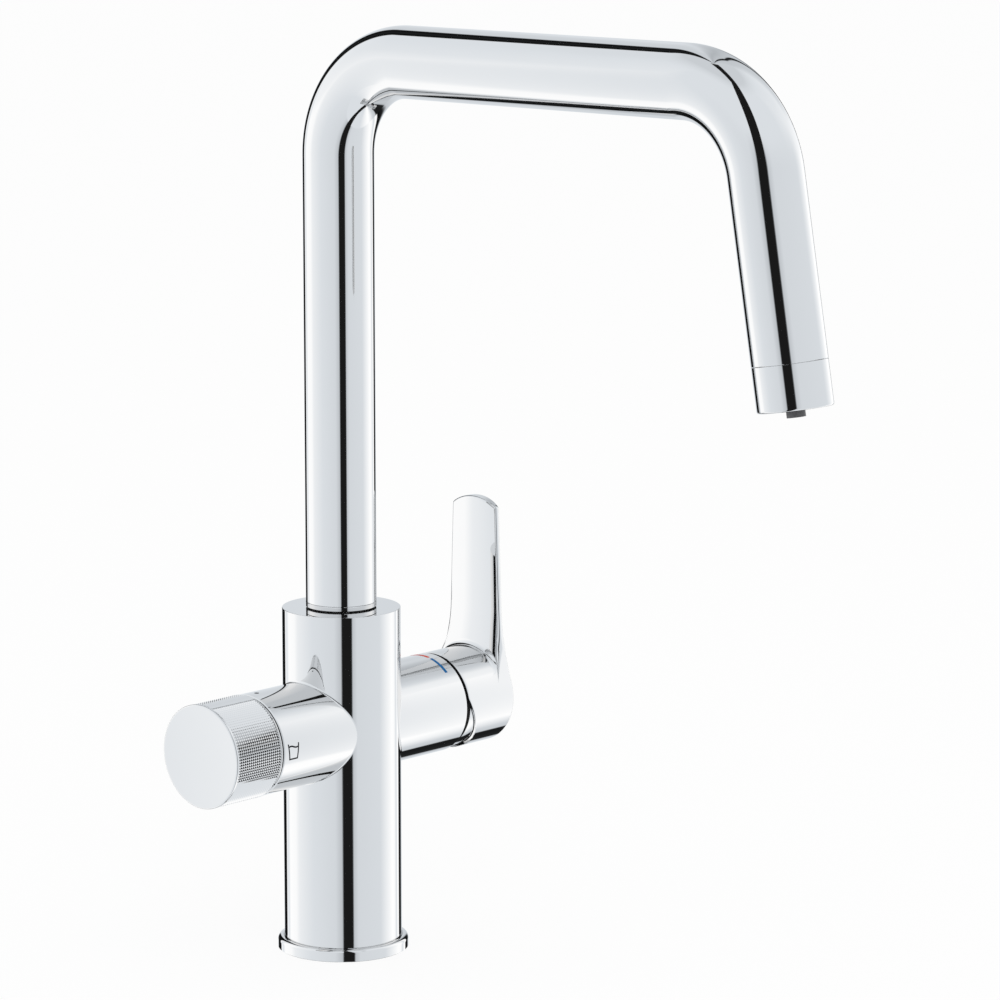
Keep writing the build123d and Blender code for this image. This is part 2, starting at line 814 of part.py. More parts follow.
def cartridge_seals():
    seal_in = pipe(port_seal_r, inlet_hole_r, cartridge_seat, cartridge_seat + port_seal_h)
    seal_out = pipe(port_seal_r, outlet_hole_r, cartridge_seat, cartridge_seat + port_seal_h)
    seals = at_cartridge_ports(seal_in, seal_out)
    return Compound(children=[outwards_right(seal).solid() for seal in seals])


def cartridge_fixed_disc():
    end = fixed_disc_place + fixed_disc_h
    disc = rod(fixed_disc_r, fixed_disc_place, end)
    through_in = rod(inlet_hole_r, fixed_disc_place, end)
    through_out = rod(outlet_hole_r, fixed_disc_place, end)
    for hole in at_cartridge_ports(through_in, through_out):
        disc -= hole
    return outwards_right(disc)


def slid_down(shape):
    # Local +X is down on this side, and the shut mixer holds its disc below the middle
    return Pos(disc_rest_down, 0, 0) * shape


def carrier_pegs(radius):
    peg = rod(radius, carrier_place - carrier_peg_h, carrier_place)
    return [Pos(0, side * carrier_peg_side, 0) * peg for side in (-1, 1)]


def cartridge_moving_disc():
    disc = rod(moving_disc_r, moving_disc_place, carrier_place)
    pocket_end = moving_disc_place + mixing_pocket_depth
    pocket = rod(moving_disc_r - mixing_pocket_rim, moving_disc_place, pocket_end)
    below = bar(2 * moving_disc_r, 2 * moving_disc_r, moving_disc_place, pocket_end)
    disc -= pocket & (Pos(moving_disc_r - mixing_pocket_top, 0, 0) * below)
    for peg in carrier_pegs(carrier_peg_r + seat_gap):
        disc -= peg
    return outwards_right(slid_down(disc))


def disc_carrier():
    carrier = rod(moving_disc_r, carrier_place, cup_start)
    for peg in carrier_pegs(carrier_peg_r):
        carrier += peg
    cup = pipe(cup_r, cup_bore_r, cup_start, cup_end)
    return outwards_right(slid_down(carrier) + cup)


def cartridge_housing():
    start = cartridge_seat + cartridge_flange_h
    housing = rod(cartridge_r, start, cartridge_end)
    housing += rod(cartridge_neck_r, cartridge_end, cartridge_neck_end)
    housing -= rod(cartridge_inner_r, start, cartridge_end - cartridge_top_h)
    housing -= rod(neck_bore_r, cartridge_end - cartridge_top_h, cartridge_neck_end)
    return outwards_right(housing)


def cartridge_rotor():
    rotor = rod(rotor_flange_r, rotor_place, rotor_place + rotor_flange_h)
    rotor += rod(barrel_r, rotor_place, rotor_end)
    rotor -= bar(rotor_slot_w, rotor_slot_h, rotor_place, cup_end + free_gap)
    rotor -= bar(rotor_slot_w, rotor_slot_front_h, rotor_place, rotor_end)
    rotor -= o_ring_groove(neck_bore_r, rotor_cord_r, rotor_ring_place)
    rotor -= pin_shape(pivot_pin_r + seat_gap, 2 * barrel_r)
    return outwards_right(rotor)


def rotor_o_ring():
    return outwards_right(o_ring(neck_bore_r, rotor_cord_r, rotor_ring_place))


def pin_shape(radius, length):
    return Pos(0, 0, tilt_x) * Rot(90, 0, 0) * Cylinder(radius, length)


def pivot_pin():
    return outwards_right(pin_shape(pivot_pin_r, pivot_pin_len))


def cartridge_nut():
    nut = rod(nut_thread_r - seat_gap, cartridge_end, cartridge_end + nut_thread_len)
    nut += rod(nut_collar_r, cartridge_end + nut_thread_len, lever_neck_x + nut_collar_len)
    nut -= rod(cartridge_neck_r + nut_bore_gap, cartridge_end, lever_neck_x + nut_collar_len)
    return outwards_right(nut)


def dome_cover():
    shell = Pos(0, 0, tilt_x) * Sphere(dome_r)
    shell -= Pos(0, 0, tilt_x) * Sphere(dome_r - dome_wall)
    collar_end = lever_neck_x + nut_collar_len
    shell += pipe(dome_r - dome_wall / 2, nut_collar_r, dome_back, collar_end) & (Pos(0, 0, tilt_x) * Sphere(dome_r))
    shell &= rod(dome_r, dome_back, tilt_x + dome_front)
    shell -= rod(nut_collar_r + seat_gap, dome_back, collar_end)
    shell -= rod(dome_opening_r, collar_end, tilt_x + dome_front)
    return outwards_right(shell)


# Mixer lever


def lever_stem():
    square_start = tilt_x - stem_square_back
    stem = bar(stem_w, stem_w, square_start, stem_end)
    stem += rod(stem_neck_r, ball_place, square_start)
    stem += Pos(0, 0, ball_place) * Sphere(stem_ball_r)
    stem -= pin_shape(pivot_pin_r + slip_gap, 2 * stem_w)
    return outwards_right(stem)


def blade_corner_z():
    return blade_top_z - blade_top_r + math.sqrt(blade_top_r**2 - blade_top_half_w**2)


def blade_flare():
    # Centre of the arc that leads the tapering side into the hub's circle, and its two end angles
    side_turn = math.radians(blade_taper)
    drop = blade_corner_z() - control_z
    side_offset = blade_top_half_w * math.cos(side_turn) + drop * math.sin(side_turn)
    reach = hub_r + blade_flare_r
    hub_turn = math.acos((side_offset + blade_flare_r) / reach) + side_turn
    centre_y = reach * math.cos(hub_turn)
    centre_z = control_z + reach * math.sin(hub_turn)
    return centre_y, centre_z, side_turn, hub_turn


def flare_point(turn):
    centre_y, centre_z, side_turn, hub_turn = blade_flare()
    return centre_y - blade_flare_r * math.cos(turn), centre_z - blade_flare_r * math.sin(turn)


def blade_half_w(height):
    centre_y, centre_z, side_turn, hub_turn = blade_flare()
    if height >= flare_point(side_turn)[1]:
        return blade_top_half_w + (blade_corner_z() - height) * math.tan(side_turn)
    if height >= flare_point(hub_turn)[1]:
        return centre_y - math.sqrt(blade_flare_r**2 - (height - centre_z) ** 2)
    return math.sqrt(hub_r**2 - (height - control_z) ** 2)


def blade_outline():
    # Front view of the blade in the YZ plane: tapering sides that flare into the hub's circle
    side_turn, hub_turn = blade_flare()[2:]
    corner = (blade_top_half_w, blade_corner_z())
    side = flare_point(side_turn)
    hub_edge = flare_point(hub_turn)
    half = Line(corner, side) + ThreePointArc(side, flare_point((side_turn + hub_turn) / 2), hub_edge)
    top = ThreePointArc((-corner[0], corner[1]), (0, blade_top_z), corner)
    foot = Line((-hub_edge[0], hub_edge[1]), hub_edge)
    outline = make_face(half + mirror(half, Plane.YZ) + top + foot)
    return fillet(outline.vertices().group_by(Axis.Y)[-1], blade_corner_r)


def on_blade_plane(sketch, x_place):
    # Sketch X becomes +Y and sketch Y becomes +Z, so the sketch faces along +X
    return Plane((x_place, 0, 0), x_dir=(0, 1, 0), z_dir=(1, 0, 0)) * sketch


def back_arc(height):
    # Centre and radius of the outer side's arc at one height, as seen from above
    if height <= control_z:
        ball_r = (hub_r**2 + hub_end_crown**2) / (2 * hub_end_crown)
        return hub_end + hub_end_crown - ball_r, math.sqrt(ball_r**2 - (height - control_z) ** 2)
    half_w = blade_half_w(height)
    share = (height - control_z) / (blade_top_z - control_z)
    crown = hub_end_crown + share * (blade_tip_crown - hub_end_crown)
    arc_r = (half_w**2 + crown**2) / (2 * crown)
    return hub_end + crown - arc_r, arc_r


def back_section(height):
    # A slice seen from above, wider than the lever: straight inside, crowned outside
    centre_x, arc_r = back_arc(height)
    wide = blade_half_w(max(height, control_z)) + blade_spare_w
    edge_x = centre_x + math.sqrt(arc_r**2 - wide**2)
    sides = Line((lever_neck_x, -wide), (edge_x, -wide))
    sides += ThreePointArc((edge_x, -wide), (centre_x + arc_r, 0), (edge_x, wide))
    sides += Line((edge_x, wide), (lever_neck_x, wide)) + Line((lever_neck_x, wide), (lever_neck_x, -wide))
    return Pos(0, 0, height) * make_face(sides)


def lever_back():
    # The whole lever's crowned outer side, from under the hub to above the tip
    start = control_z - hub_r - blade_spare_w
    step = (blade_top_z + blade_spare_w - start) / (blade_section_count - 1)
    return loft([back_section(start + number * step) for number in range(blade_section_count)])


def lever_shell():
    depth = hub_end + 2 * hub_end_crown - hub_boss_back
    plate = extrude(on_blade_plane(blade_outline(), hub_boss_back), depth, dir=(1, 0, 0))
    plate -= blade_front_cut()
    back = lever_back()
    hub = outwards_right(rod(hub_r, hub_back, hub_end + 2 * hub_end_crown))
    return (hub & back) + (plate & back)


def inner_edge_x(height):
    # The inner face's two edges stand upright, and curve in to the hub below the root's height
    drop = max(blade_root_z - height, 0)
    return blade_inner_x - blade_root_r + math.sqrt(blade_root_r**2 - drop**2)


def inside_section(height):
    # A slice seen from above of the space inside the blade, whose inner face bulges into it
    half_w = blade_half_w(height)
    turn = math.radians(blade_inner_turn)
    arc_r = half_w / math.sin(turn)
    centre_x = inner_edge_x(height) + arc_r * math.cos(turn)
    wide = half_w + blade_spare_w
    edge_x = centre_x - math.sqrt(arc_r**2 - wide**2)
    sides = Line((hub_back, -wide), (edge_x, -wide))
    sides += ThreePointArc((edge_x, -wide), (centre_x - arc_r, 0), (edge_x, wide))
    sides += Line((edge_x, wide), (hub_back, wide)) + Line((hub_back, wide), (hub_back, -wide))
    return Pos(0, 0, height) * make_face(sides)


def blade_front_cut():
    # Everything between the column and the blade's inner face, above the hub
    step = (blade_top_z + blade_spare_w - control_z) / (blade_section_count - 1)
    cut = loft([inside_section(control_z + number * step) for number in range(blade_section_count)])
    return cut - outwards_right(rod(hub_r, 0, hub_end))


def hub_slant():
    # Wedge cut off the hub's lower back, so that the lever can tilt
    length = 3 * hub_r
    wedge = Pos(-length / 2, 0, -length / 2) * Box(length, 2 * length, length)
    turned = Rot(0, -lever_tilt, 0) * wedge
    return Pos(hub_back, 0, control_z + hub_cut_up) * turned


def lever_screw_frame(shape):
    # Local +Z points down from the stem, where the screw clamps it
    return Pos(lever_screw_x, 0, control_z) * Rot(180, 0, 0) * shape


def lever():
    body = lever_shell()
    cavity = Pos(0, 0, tilt_x) * Sphere(hub_bore_r) - rod(hub_boss_r, hub_boss_back, hub_end)
    body -= outwards_right(cavity)
    body -= hub_slant()
    body -= outwards_right(bar(stem_w + 2 * seat_gap, stem_w + 2 * seat_gap, hub_boss_back, hub_socket_end))
    body -= lever_screw_frame(rod(lever_screw_r, 0, hub_boss_r + 1))
    body -= lever_screw_frame(rod(plug_r, hub_boss_r + 1, hub_r + 1))
    return body


def lever_screw():
    start = stem_w / 2 + seat_gap
    screw = rod(lever_screw_r - seat_gap, start, start + lever_screw_len)
    return lever_screw_frame(screw - hex_socket(start + lever_screw_len - hex_key_depth, start + lever_screw_len))


def lever_screw_plug():
    plug = lever_screw_frame(rod(plug_r - seat_gap, hub_r - plug_len, hub_r + 1))
    return plug & outwards_right(rod(hub_r, hub_back, hub_end))


pieces = {
    "base_ring": base_ring,
    "base_seal": base_seal,
    "body_column": body_column,
    "spout_stop_screw": stop_screw,
    "off_mark": off_mark,
    "glass_mark": glass_mark,
    "hot_mark": hot_mark,
    "cold_mark": cold_mark,
    "spout_tube": spout_tube,
    "spout_adaptor": spout_adaptor,
    "spout_glide_washer": spout_glide_washer,
    "spout_glide_rings": spout_glide_rings,
    "spout_o_rings": spout_o_rings,
    "filter_tube": filter_tube,
    "filter_stub_o_ring": filter_stub_o_ring,
    "outlet_socket": outlet_socket,
    "outlet_sleeve": outlet_sleeve,
    "aerator": aerator,
    "aerator_seal": aerator_seal,
    "filter_nozzle": filter_nozzle,
    "nozzle_o_ring": nozzle_o_ring,
    "headpart_housing": headpart_housing,
    "headpart_seat_seal": headpart_seat_seal,
    "headpart_fixed_disc": headpart_fixed_disc,
    "headpart_moving_disc": headpart_moving_disc,
    "valve_spindle": valve_spindle,
    "spindle_o_rings": spindle_o_rings,
    "spindle_circlip": spindle_circlip,
    "knob_sleeve": knob_sleeve,
    "knob_cap": knob_cap,
    "knob_adaptor": knob_adaptor,
    "knob_screw": knob_screw,
    "cartridge_base": cartridge_base,
    "cartridge_seals": cartridge_seals,
    "cartridge_fixed_disc": cartridge_fixed_disc,
    "cartridge_moving_disc": cartridge_moving_disc,
    "disc_carrier": disc_carrier,
    "cartridge_housing": cartridge_housing,
    "cartridge_rotor": cartridge_rotor,
    "pivot_pin": pivot_pin,
    "rotor_o_ring": rotor_o_ring,
    "cartridge_nut": cartridge_nut,
    "dome_cover": dome_cover,
    "lever_stem": lever_stem,
    "lever": lever,
    "lever_screw": lever_screw,
    "lever_screw_plug": lever_screw_plug,
}

os.makedirs("parts", exist_ok=True)
for name, make in pieces.items():
    export_step(solids(make()), f"parts/{name}.step")
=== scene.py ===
import bpy
import math
from mathutils import Matrix, Vector


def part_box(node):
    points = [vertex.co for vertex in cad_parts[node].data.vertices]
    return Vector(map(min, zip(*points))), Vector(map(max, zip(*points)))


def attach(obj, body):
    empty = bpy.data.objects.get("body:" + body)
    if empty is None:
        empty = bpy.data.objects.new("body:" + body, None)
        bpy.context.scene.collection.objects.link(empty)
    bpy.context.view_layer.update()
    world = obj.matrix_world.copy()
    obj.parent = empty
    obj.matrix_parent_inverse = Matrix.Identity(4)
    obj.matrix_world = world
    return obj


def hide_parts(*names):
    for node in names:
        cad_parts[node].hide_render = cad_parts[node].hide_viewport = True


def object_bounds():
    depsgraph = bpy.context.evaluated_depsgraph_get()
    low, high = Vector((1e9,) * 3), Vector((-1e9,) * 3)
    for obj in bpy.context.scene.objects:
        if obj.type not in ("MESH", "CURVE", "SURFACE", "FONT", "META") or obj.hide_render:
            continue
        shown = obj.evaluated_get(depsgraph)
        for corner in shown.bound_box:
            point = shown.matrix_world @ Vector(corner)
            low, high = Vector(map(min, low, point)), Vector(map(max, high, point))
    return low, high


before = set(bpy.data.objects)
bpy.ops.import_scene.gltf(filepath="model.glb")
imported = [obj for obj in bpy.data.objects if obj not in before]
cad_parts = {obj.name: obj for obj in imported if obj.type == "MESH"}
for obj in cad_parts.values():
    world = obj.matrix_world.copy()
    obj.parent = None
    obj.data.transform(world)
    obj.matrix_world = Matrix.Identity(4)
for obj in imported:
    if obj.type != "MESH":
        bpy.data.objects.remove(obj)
cadLow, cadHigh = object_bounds()
mm = 0.001


# small helpers, used by every piece

def clearSelection():
    if bpy.context.mode != "OBJECT":
        bpy.ops.object.mode_set(mode="OBJECT")
    bpy.ops.object.select_all(action="DESELECT")


def selectOnly(piece):
    clearSelection()
    piece.select_set(True)
    bpy.context.view_layer.objects.active = piece


def applyModifier(piece, kind, **values):
    selectOnly(piece)
    modifier = piece.modifiers.new(kind.lower(), kind)
    for name, value in values.items():
        setattr(modifier, name, value)
    bpy.ops.object.modifier_apply(modifier=modifier.name)


def tidyMesh(piece, gap=0.006):
    selectOnly(piece)
    bpy.ops.object.mode_set(mode="EDIT")
    bpy.ops.mesh.select_all(action="SELECT")
    bpy.ops.mesh.remove_doubles(threshold=gap * mm)
    bpy.ops.mesh.normals_make_consistent(inside=False)
    bpy.ops.object.mode_set(mode="OBJECT")


def smoothPiece(piece, angle=28):
    selectOnly(piece)
    bpy.ops.object.shade_smooth_by_angle(angle=math.radians(angle))
    applyModifier(piece, "WEIGHTED_NORMAL", keep_sharp=True, weight=80)


def settle(piece, turn, place):
    # turns and moves the mesh, so that the object stays at the origin
    selectOnly(piece)
    piece.rotation_euler = turn
    piece.location = [value * mm for value in place]
    bpy.ops.object.transform_apply(location=True, rotation=True, scale=True)


def turnedPiece(name, rings, sides=192, turn=(0, 0, 0), place=(0, 0, 0)):
    # rings are (height, radius) pairs in mm, from a circle that is extruded and resized
    height, radius = rings[0]
    clearSelection()
    bpy.ops.mesh.primitive_circle_add(vertices=sides, radius=radius * mm, location=(0, 0, height * mm))
    piece = bpy.context.object
    piece.name = name
    bpy.ops.object.transform_apply(location=True)
    bpy.ops.object.mode_set(mode="EDIT")
    bpy.ops.mesh.select_mode(type="VERT")
    bpy.ops.mesh.select_all(action="SELECT")
    for nextHeight, nextRadius in rings[1:]:
        rise = (nextHeight - height) * mm
        scale = nextRadius / radius
        bpy.ops.mesh.extrude_region_move(TRANSFORM_OT_translate={"value": (0, 0, rise)})
        bpy.ops.transform.resize(value=(scale, scale, 1), center_override=(0, 0, nextHeight * mm))
        height, radius = nextHeight, nextRadius
    bpy.ops.object.mode_set(mode="OBJECT")
    tidyMesh(piece)
    settle(piece, turn, place)
    return piece


def roundedRings(startAngle, endAngle, centre, radius, steps=6):
    # a quarter round or less, as rings about (height, radius)
    rings = []
    for step in range(steps + 1):
        angle = math.radians(startAngle + (endAngle - startAngle) * step / steps)
        rings.append((centre[0] + radius * math.sin(angle), centre[1] + radius * math.cos(angle)))
    return rings


def combine(piece, other, how):
    applyModifier(piece, "BOOLEAN", object=other, operation=how, solver="EXACT")
    bpy.data.objects.remove(other)


def wrappedGrid(name, columns, rows, shapeAt):
    # a flat grid whose points are moved to shapeAt(across, along), each from 0 to 1
    clearSelection()
    bpy.ops.mesh.primitive_grid_add(x_subdivisions=columns, y_subdivisions=rows, size=1)
    piece = bpy.context.object
    piece.name = name
    for point in piece.data.vertices:
        point.co = Vector(shapeAt(point.co.x + 0.5, point.co.y + 0.5)) * mm
    tidyMesh(piece)
    return piece


def finishPiece(piece, body, material, replaced=(), paintedShadeAt=None):
    # the last argument tells which faces get painted shade: a near-black matt coat on hollows, gaps and
    # inner faces, where shade falls
    piece.data.materials.clear()
    piece.data.materials.append(material)
    if paintedShadeAt:
        piece.data.materials.append(materials["painted_shade_coat"])
        for face in piece.data.polygons:
            x, y, z = face.center / mm
            if paintedShadeAt(x, y, z):
                face.material_index = 1
    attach(piece, body)
    if replaced:
        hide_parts(*replaced)


pointUp = (0, 0, 0)
pointRight = (0, math.radians(90), 0)
pointLeft = (0, math.radians(-90), 0)

print("camera and studio")

cameraValues = {
    "place": (-1217.3, -1180.3, 480.6),
    "pitch": 79.98,
    "turn": -48.01,
    "lens": 157.03,
}


def addCamera(values):
    clearSelection()
    bpy.ops.object.camera_add(location=[value * mm for value in values["place"]])
    camera = bpy.context.object
    camera.rotation_euler = (math.radians(values["pitch"]), 0, math.radians(values["turn"]))
    camera.data.lens = values["lens"]
    camera.data.sensor_width = 36
    bpy.context.scene.camera = camera


addCamera(cameraValues)

studioValues = {
    "front": (-0.7021, -0.7121),
    "radius": 0.46,
    "backStretch": 2.5,
    "bottom": -0.9,
    "top": 1.4,
    "upFrom": 0.33,
    "downFrom": 0.05,
    "chromeColour": 0.7,
    "cool": 4.5,
    "plainLight": 0.92,
    "panels": [
        (-180, 205), (-168, 205), (-166.8, 2), (-155, 20), (-142.8, 2), (-140.5, 247), (-133, 221),
        (-124, 252), (-103.5, 250), (-93.5, 237), (-59, 222), (-15, 214), (-2, 190), (-0.8, 3), (1.5, 31),
        (14, 33), (16, 39), (18, 2), (19.5, 194), (28, 214), (76, 218), (93.5, 239), (110, 254), (119, 250),
        (127.5, 218),
        (133.5, 252), (138.3, 250), (140.2, 2), (154, 30), (157, 90), (163, 192), (180, 205),
    ],
    "highPanels": [
        (-180, 205), (-168, 205), (-166.8, 2), (-155, 30), (-142.8, 2), (-140.5, 240), (-124, 252),
        (-103, 250),
        (-60, 222), (60, 222), (98, 238),
        (114, 216), (126, 200), (138, 196), (139.5, 30), (143.5, 30), (145, 195), (157, 178), (164, 192),
        (171, 212), (180, 205),
    ],
    "lowPanels": [
        (-180, 190), (-168, 190), (-166.8, 2), (-155, 30), (-142.8, 2), (-140.5, 247), (-133, 221),
        (-124, 252),
        (-103, 250), (-60, 222), (60, 222),
        (98, 254), (105, 255), (113, 242), (125, 208), (134, 198), (135.8, 25), (147.5, 27), (160.5, 35),
        (163.5, 185),
        (170, 195), (180, 190),
    ],
    "highFrom": (0.06, 0.42),
    "lowFrom": (-0.5, -0.62),
    "frontFlag": (8.6, 0.163),
    "flagGrey": 32,
    "ceiling": [(0, 254), (0.1, 242), (0.3, 236), (0.6, 228), (1.2, 223), (2.4, 205)],
}


def asLight(grey):
    value = grey / 255
    return value / 12.92 if value <= 0.04045 else ((value + 0.055) / 1.055) ** 2.4


def tinted(grey, cool):
    # pale greys are a little blue, the lamps' whites and the black flags are not
    part = min(max((253 - grey) / 30, 0), 1) * min(grey / 150, 1)
    return [asLight(min(max(grey + shift * part, 0), 255)) for shift in (-cool, 0, cool)]


def buildWorld(values):
    # plain white light for the matt pieces, white behind the object
    world = bpy.data.worlds.new("studio")
    bpy.context.scene.world = world
    world.use_nodes = True
    nodes = world.node_tree.nodes
    links = world.node_tree.links
    nodes.clear()
    rays = nodes.new("ShaderNodeLightPath")
    seesWhite = nodes.new("ShaderNodeMath")
    seesWhite.operation = "MAXIMUM"
    links.new(rays.outputs["Is Camera Ray"], seesWhite.inputs[0])
    links.new(rays.outputs["Is Transmission Ray"], seesWhite.inputs[1])
    shades = []
    for strength in (values["plainLight"], 1):
        shade = nodes.new("ShaderNodeBackground")
        shade.inputs["Color"].default_value = (1, 1, 1, 1)
        shade.inputs["Strength"].default_value = strength
        shades.append(shade.outputs[0])
    mix = nodes.new("ShaderNodeMixShader")
    links.new(seesWhite.outputs[0], mix.inputs[0])
    links.new(shades[0], mix.inputs[1])
    links.new(shades[1], mix.inputs[2])
    out = nodes.new("ShaderNodeOutputWorld")
    links.new(mix.outputs[0], out.inputs["Surface"])
    world.cycles_visibility.glossy = False
    bpy.context.scene.view_settings.view_transform = "Standard"


def buildTent(values):
    # a round light tent with soft panels and black gaps, which only the shiny pieces see
    clearSelection()
    tall = values["top"] - values["bottom"]
    middle = (values["top"] + values["bottom"]) / 2
    bpy.ops.mesh.primitive_cylinder_add(vertices=256, radius=values["radius"], depth=tall,
        location=(0, 0, middle))
    tent = bpy.context.object
    tent.name = "lightTent"
    bpy.ops.object.transform_apply(location=True)
    # the back wall stands farther away than the front one
    front = Vector((*values["front"], 0))
    for point in tent.data.vertices:
        ahead = point.co.dot(front)
        if ahead < 0:
            point.co += front * ahead * (values["backStretch"] - 1)
    tent.visible_camera = False
    tent.visible_diffuse = False
    tent.visible_transmission = False
    tent.visible_shadow = False
    material = bpy.data.materials.new("tentCloth")
    material.use_nodes = True
    material.cycles.emission_sampling = "NONE"
    nodes = material.node_tree.nodes
    links = material.node_tree.links
    nodes.clear()

    def math2(kind, first, second=0):
        node = nodes.new("ShaderNodeMath")
        node.operation = kind
        for socket, value in zip(node.inputs, (first, second)):
            if isinstance(value, (int, float)):
                socket.default_value = value
            else:
                links.new(value, socket)
        return node.outputs[0]

    def softStep(value, low, high):
        node = nodes.new("ShaderNodeMapRange")
        node.interpolation_type = "SMOOTHSTEP"
        node.inputs["From Min"].default_value = low
        node.inputs["From Max"].default_value = high
        links.new(value, node.inputs["Value"])
        return node.outputs[0]

    def ramp(value, stops):
        node = nodes.new("ShaderNodeValToRGB")
        elements = node.color_ramp.elements
        elements.remove(elements[1])
        for number, (position, grey) in enumerate(stops):
            stop = elements[0] if number == 0 else elements.new(position)
            stop.position = position
            stop.color = [level / values["chromeColour"] for level in tinted(grey, values["cool"])] + [1]
        links.new(value, node.inputs[0])
        return node.outputs[0]

    def mixed(kind, part, first, second):
        node = nodes.new("ShaderNodeMix")
        node.data_type = "RGBA"
        node.blend_type = kind
        for name, value in (("Factor", part), ("A", first), ("B", second)):
            socket = [spot for spot in node.inputs if spot.name == name and spot.enabled][0]
            if isinstance(value, (int, float, tuple)):
                socket.default_value = value
            else:
                links.new(value, socket)
        return [spot for spot in node.outputs if spot.enabled][0]

    spot = nodes.new("ShaderNodeTexCoord")
    split = nodes.new("ShaderNodeSeparateXYZ")
    links.new(spot.outputs["Object"], split.inputs[0])
    x, y, z = split.outputs
    size = values["radius"]
    frontX, frontY = values["front"]
    ahead = math2("ADD", math2("MULTIPLY", x, frontX), math2("MULTIPLY", y, frontY))
    aside = math2("ADD", math2("MULTIPLY", x, -frontY), math2("MULTIPLY", y, frontX))
    around = math2("ADD", math2("DIVIDE", math2("ARCTAN2", aside, ahead), 2 * math.pi), 0.5)
    reach = math2("SQRT", math2("ADD", math2("MULTIPLY", ahead, ahead), math2("MULTIPLY", aside, aside)))
    up = math2("DIVIDE", math2("SUBTRACT", z, values["upFrom"]), reach)
    down = math2("DIVIDE", math2("SUBTRACT", z, values["downFrom"]), reach)
    colour = ramp(around, [((angle + 180) / 360, grey) for angle, grey in values["panels"]])
    for name, steepness, limits in (("highPanels", up, values["highFrom"]),
        ("lowPanels", down, values["lowFrom"])):
        other = ramp(around, [((angle + 180) / 360, grey) for angle, grey in values[name]])
        colour = mixed("MIX", softStep(steepness, *limits), colour, other)
    steepest = values["ceiling"][-1][0]
    ceiling = ramp(math2("DIVIDE", up, steepest),
        [(steepness / steepest, grey) for steepness, grey in values["ceiling"]])
    colour = mixed("DARKEN", 1, colour, ceiling)
    # the front gap keeps its width over the top and under the floor, where it meets the side one
    angle, half = values["frontFlag"]
    turn = math.radians(angle)
    across = math2("SUBTRACT", math2("MULTIPLY", aside, math.cos(turn)),
        math2("MULTIPLY", ahead, math.sin(turn)))
    along = math2("ADD", math2("MULTIPLY", ahead, math.cos(turn)), math2("MULTIPLY", aside, math.sin(turn)))
    inside = softStep(math2("ABSOLUTE", across), (half + 0.006) * size, (half - 0.012) * size)
    flag = math2("MULTIPLY", inside, softStep(along, -0.02, 0.02))
    dark = (asLight(values["flagGrey"]),) * 3 + (1,)
    flagColour = mixed("MIX", flag, (2, 2, 2, 1), dark)
    colour = mixed("DARKEN", 1, colour, flagColour)
    shine = nodes.new("ShaderNodeEmission")
    links.new(colour, shine.inputs["Color"])
    out = nodes.new("ShaderNodeOutputMaterial")
    links.new(shine.outputs[0], out.inputs["Surface"])
    tent.data.materials.append(material)


buildWorld(studioValues)
buildTent(studioValues)

floorValues = {"size": 40.0, "colour": 0.9, "glow": 0.88}


def addFloor(values):
    clearSelection()
    bpy.ops.mesh.primitive_plane_add(size=values["size"], location=(0, 0, cadLow.z))
    floor = bpy.context.object
    floor.name = "floor"
    floor.visible_glossy = False
    material = bpy.data.materials.new("paleFloor")
    material.use_nodes = True
    nodes = material.node_tree.nodes
    links = material.node_tree.links
    nodes.clear()
    matt = nodes.new("ShaderNodeBsdfDiffuse")
    matt.inputs["Color"].default_value = (values["colour"],) * 3 + (1,)
    glow = nodes.new("ShaderNodeEmission")
    rays = nodes.new("ShaderNodeLightPath")
    part = nodes.new("ShaderNodeMath")
    part.operation = "MULTIPLY"
    part.inputs[1].default_value = values["glow"]
    mix = nodes.new("ShaderNodeMixShader")
    out = nodes.new("ShaderNodeOutputMaterial")
    links.new(rays.outputs["Is Camera Ray"], part.inputs[0])
    links.new(part.outputs[0], mix.inputs[0])
    links.new(matt.outputs[0], mix.inputs[1])
    links.new(glow.outputs[0], mix.inputs[2])
    links.new(mix.outputs[0], out.inputs["Surface"])
    floor.data.materials.append(material)


addFloor(floorValues)

lampValues = {"place": (-0.9, -1.3, 1.8), "size": 1.4, "power": 9}


def addLamp(values):
    clearSelection()
    bpy.ops.object.light_add(type="AREA", location=values["place"])
    lamp = bpy.context.object
    lamp.name = "softBox"
    lamp.data.size = values["size"]
    lamp.data.energy = values["power"]
    lamp.visible_glossy = False
    aim = Vector((0, 0, 0.15)) - lamp.location
    lamp.rotation_euler = aim.to_track_quat("-Z", "Y").to_euler()


addLamp(lampValues)

print("materials")


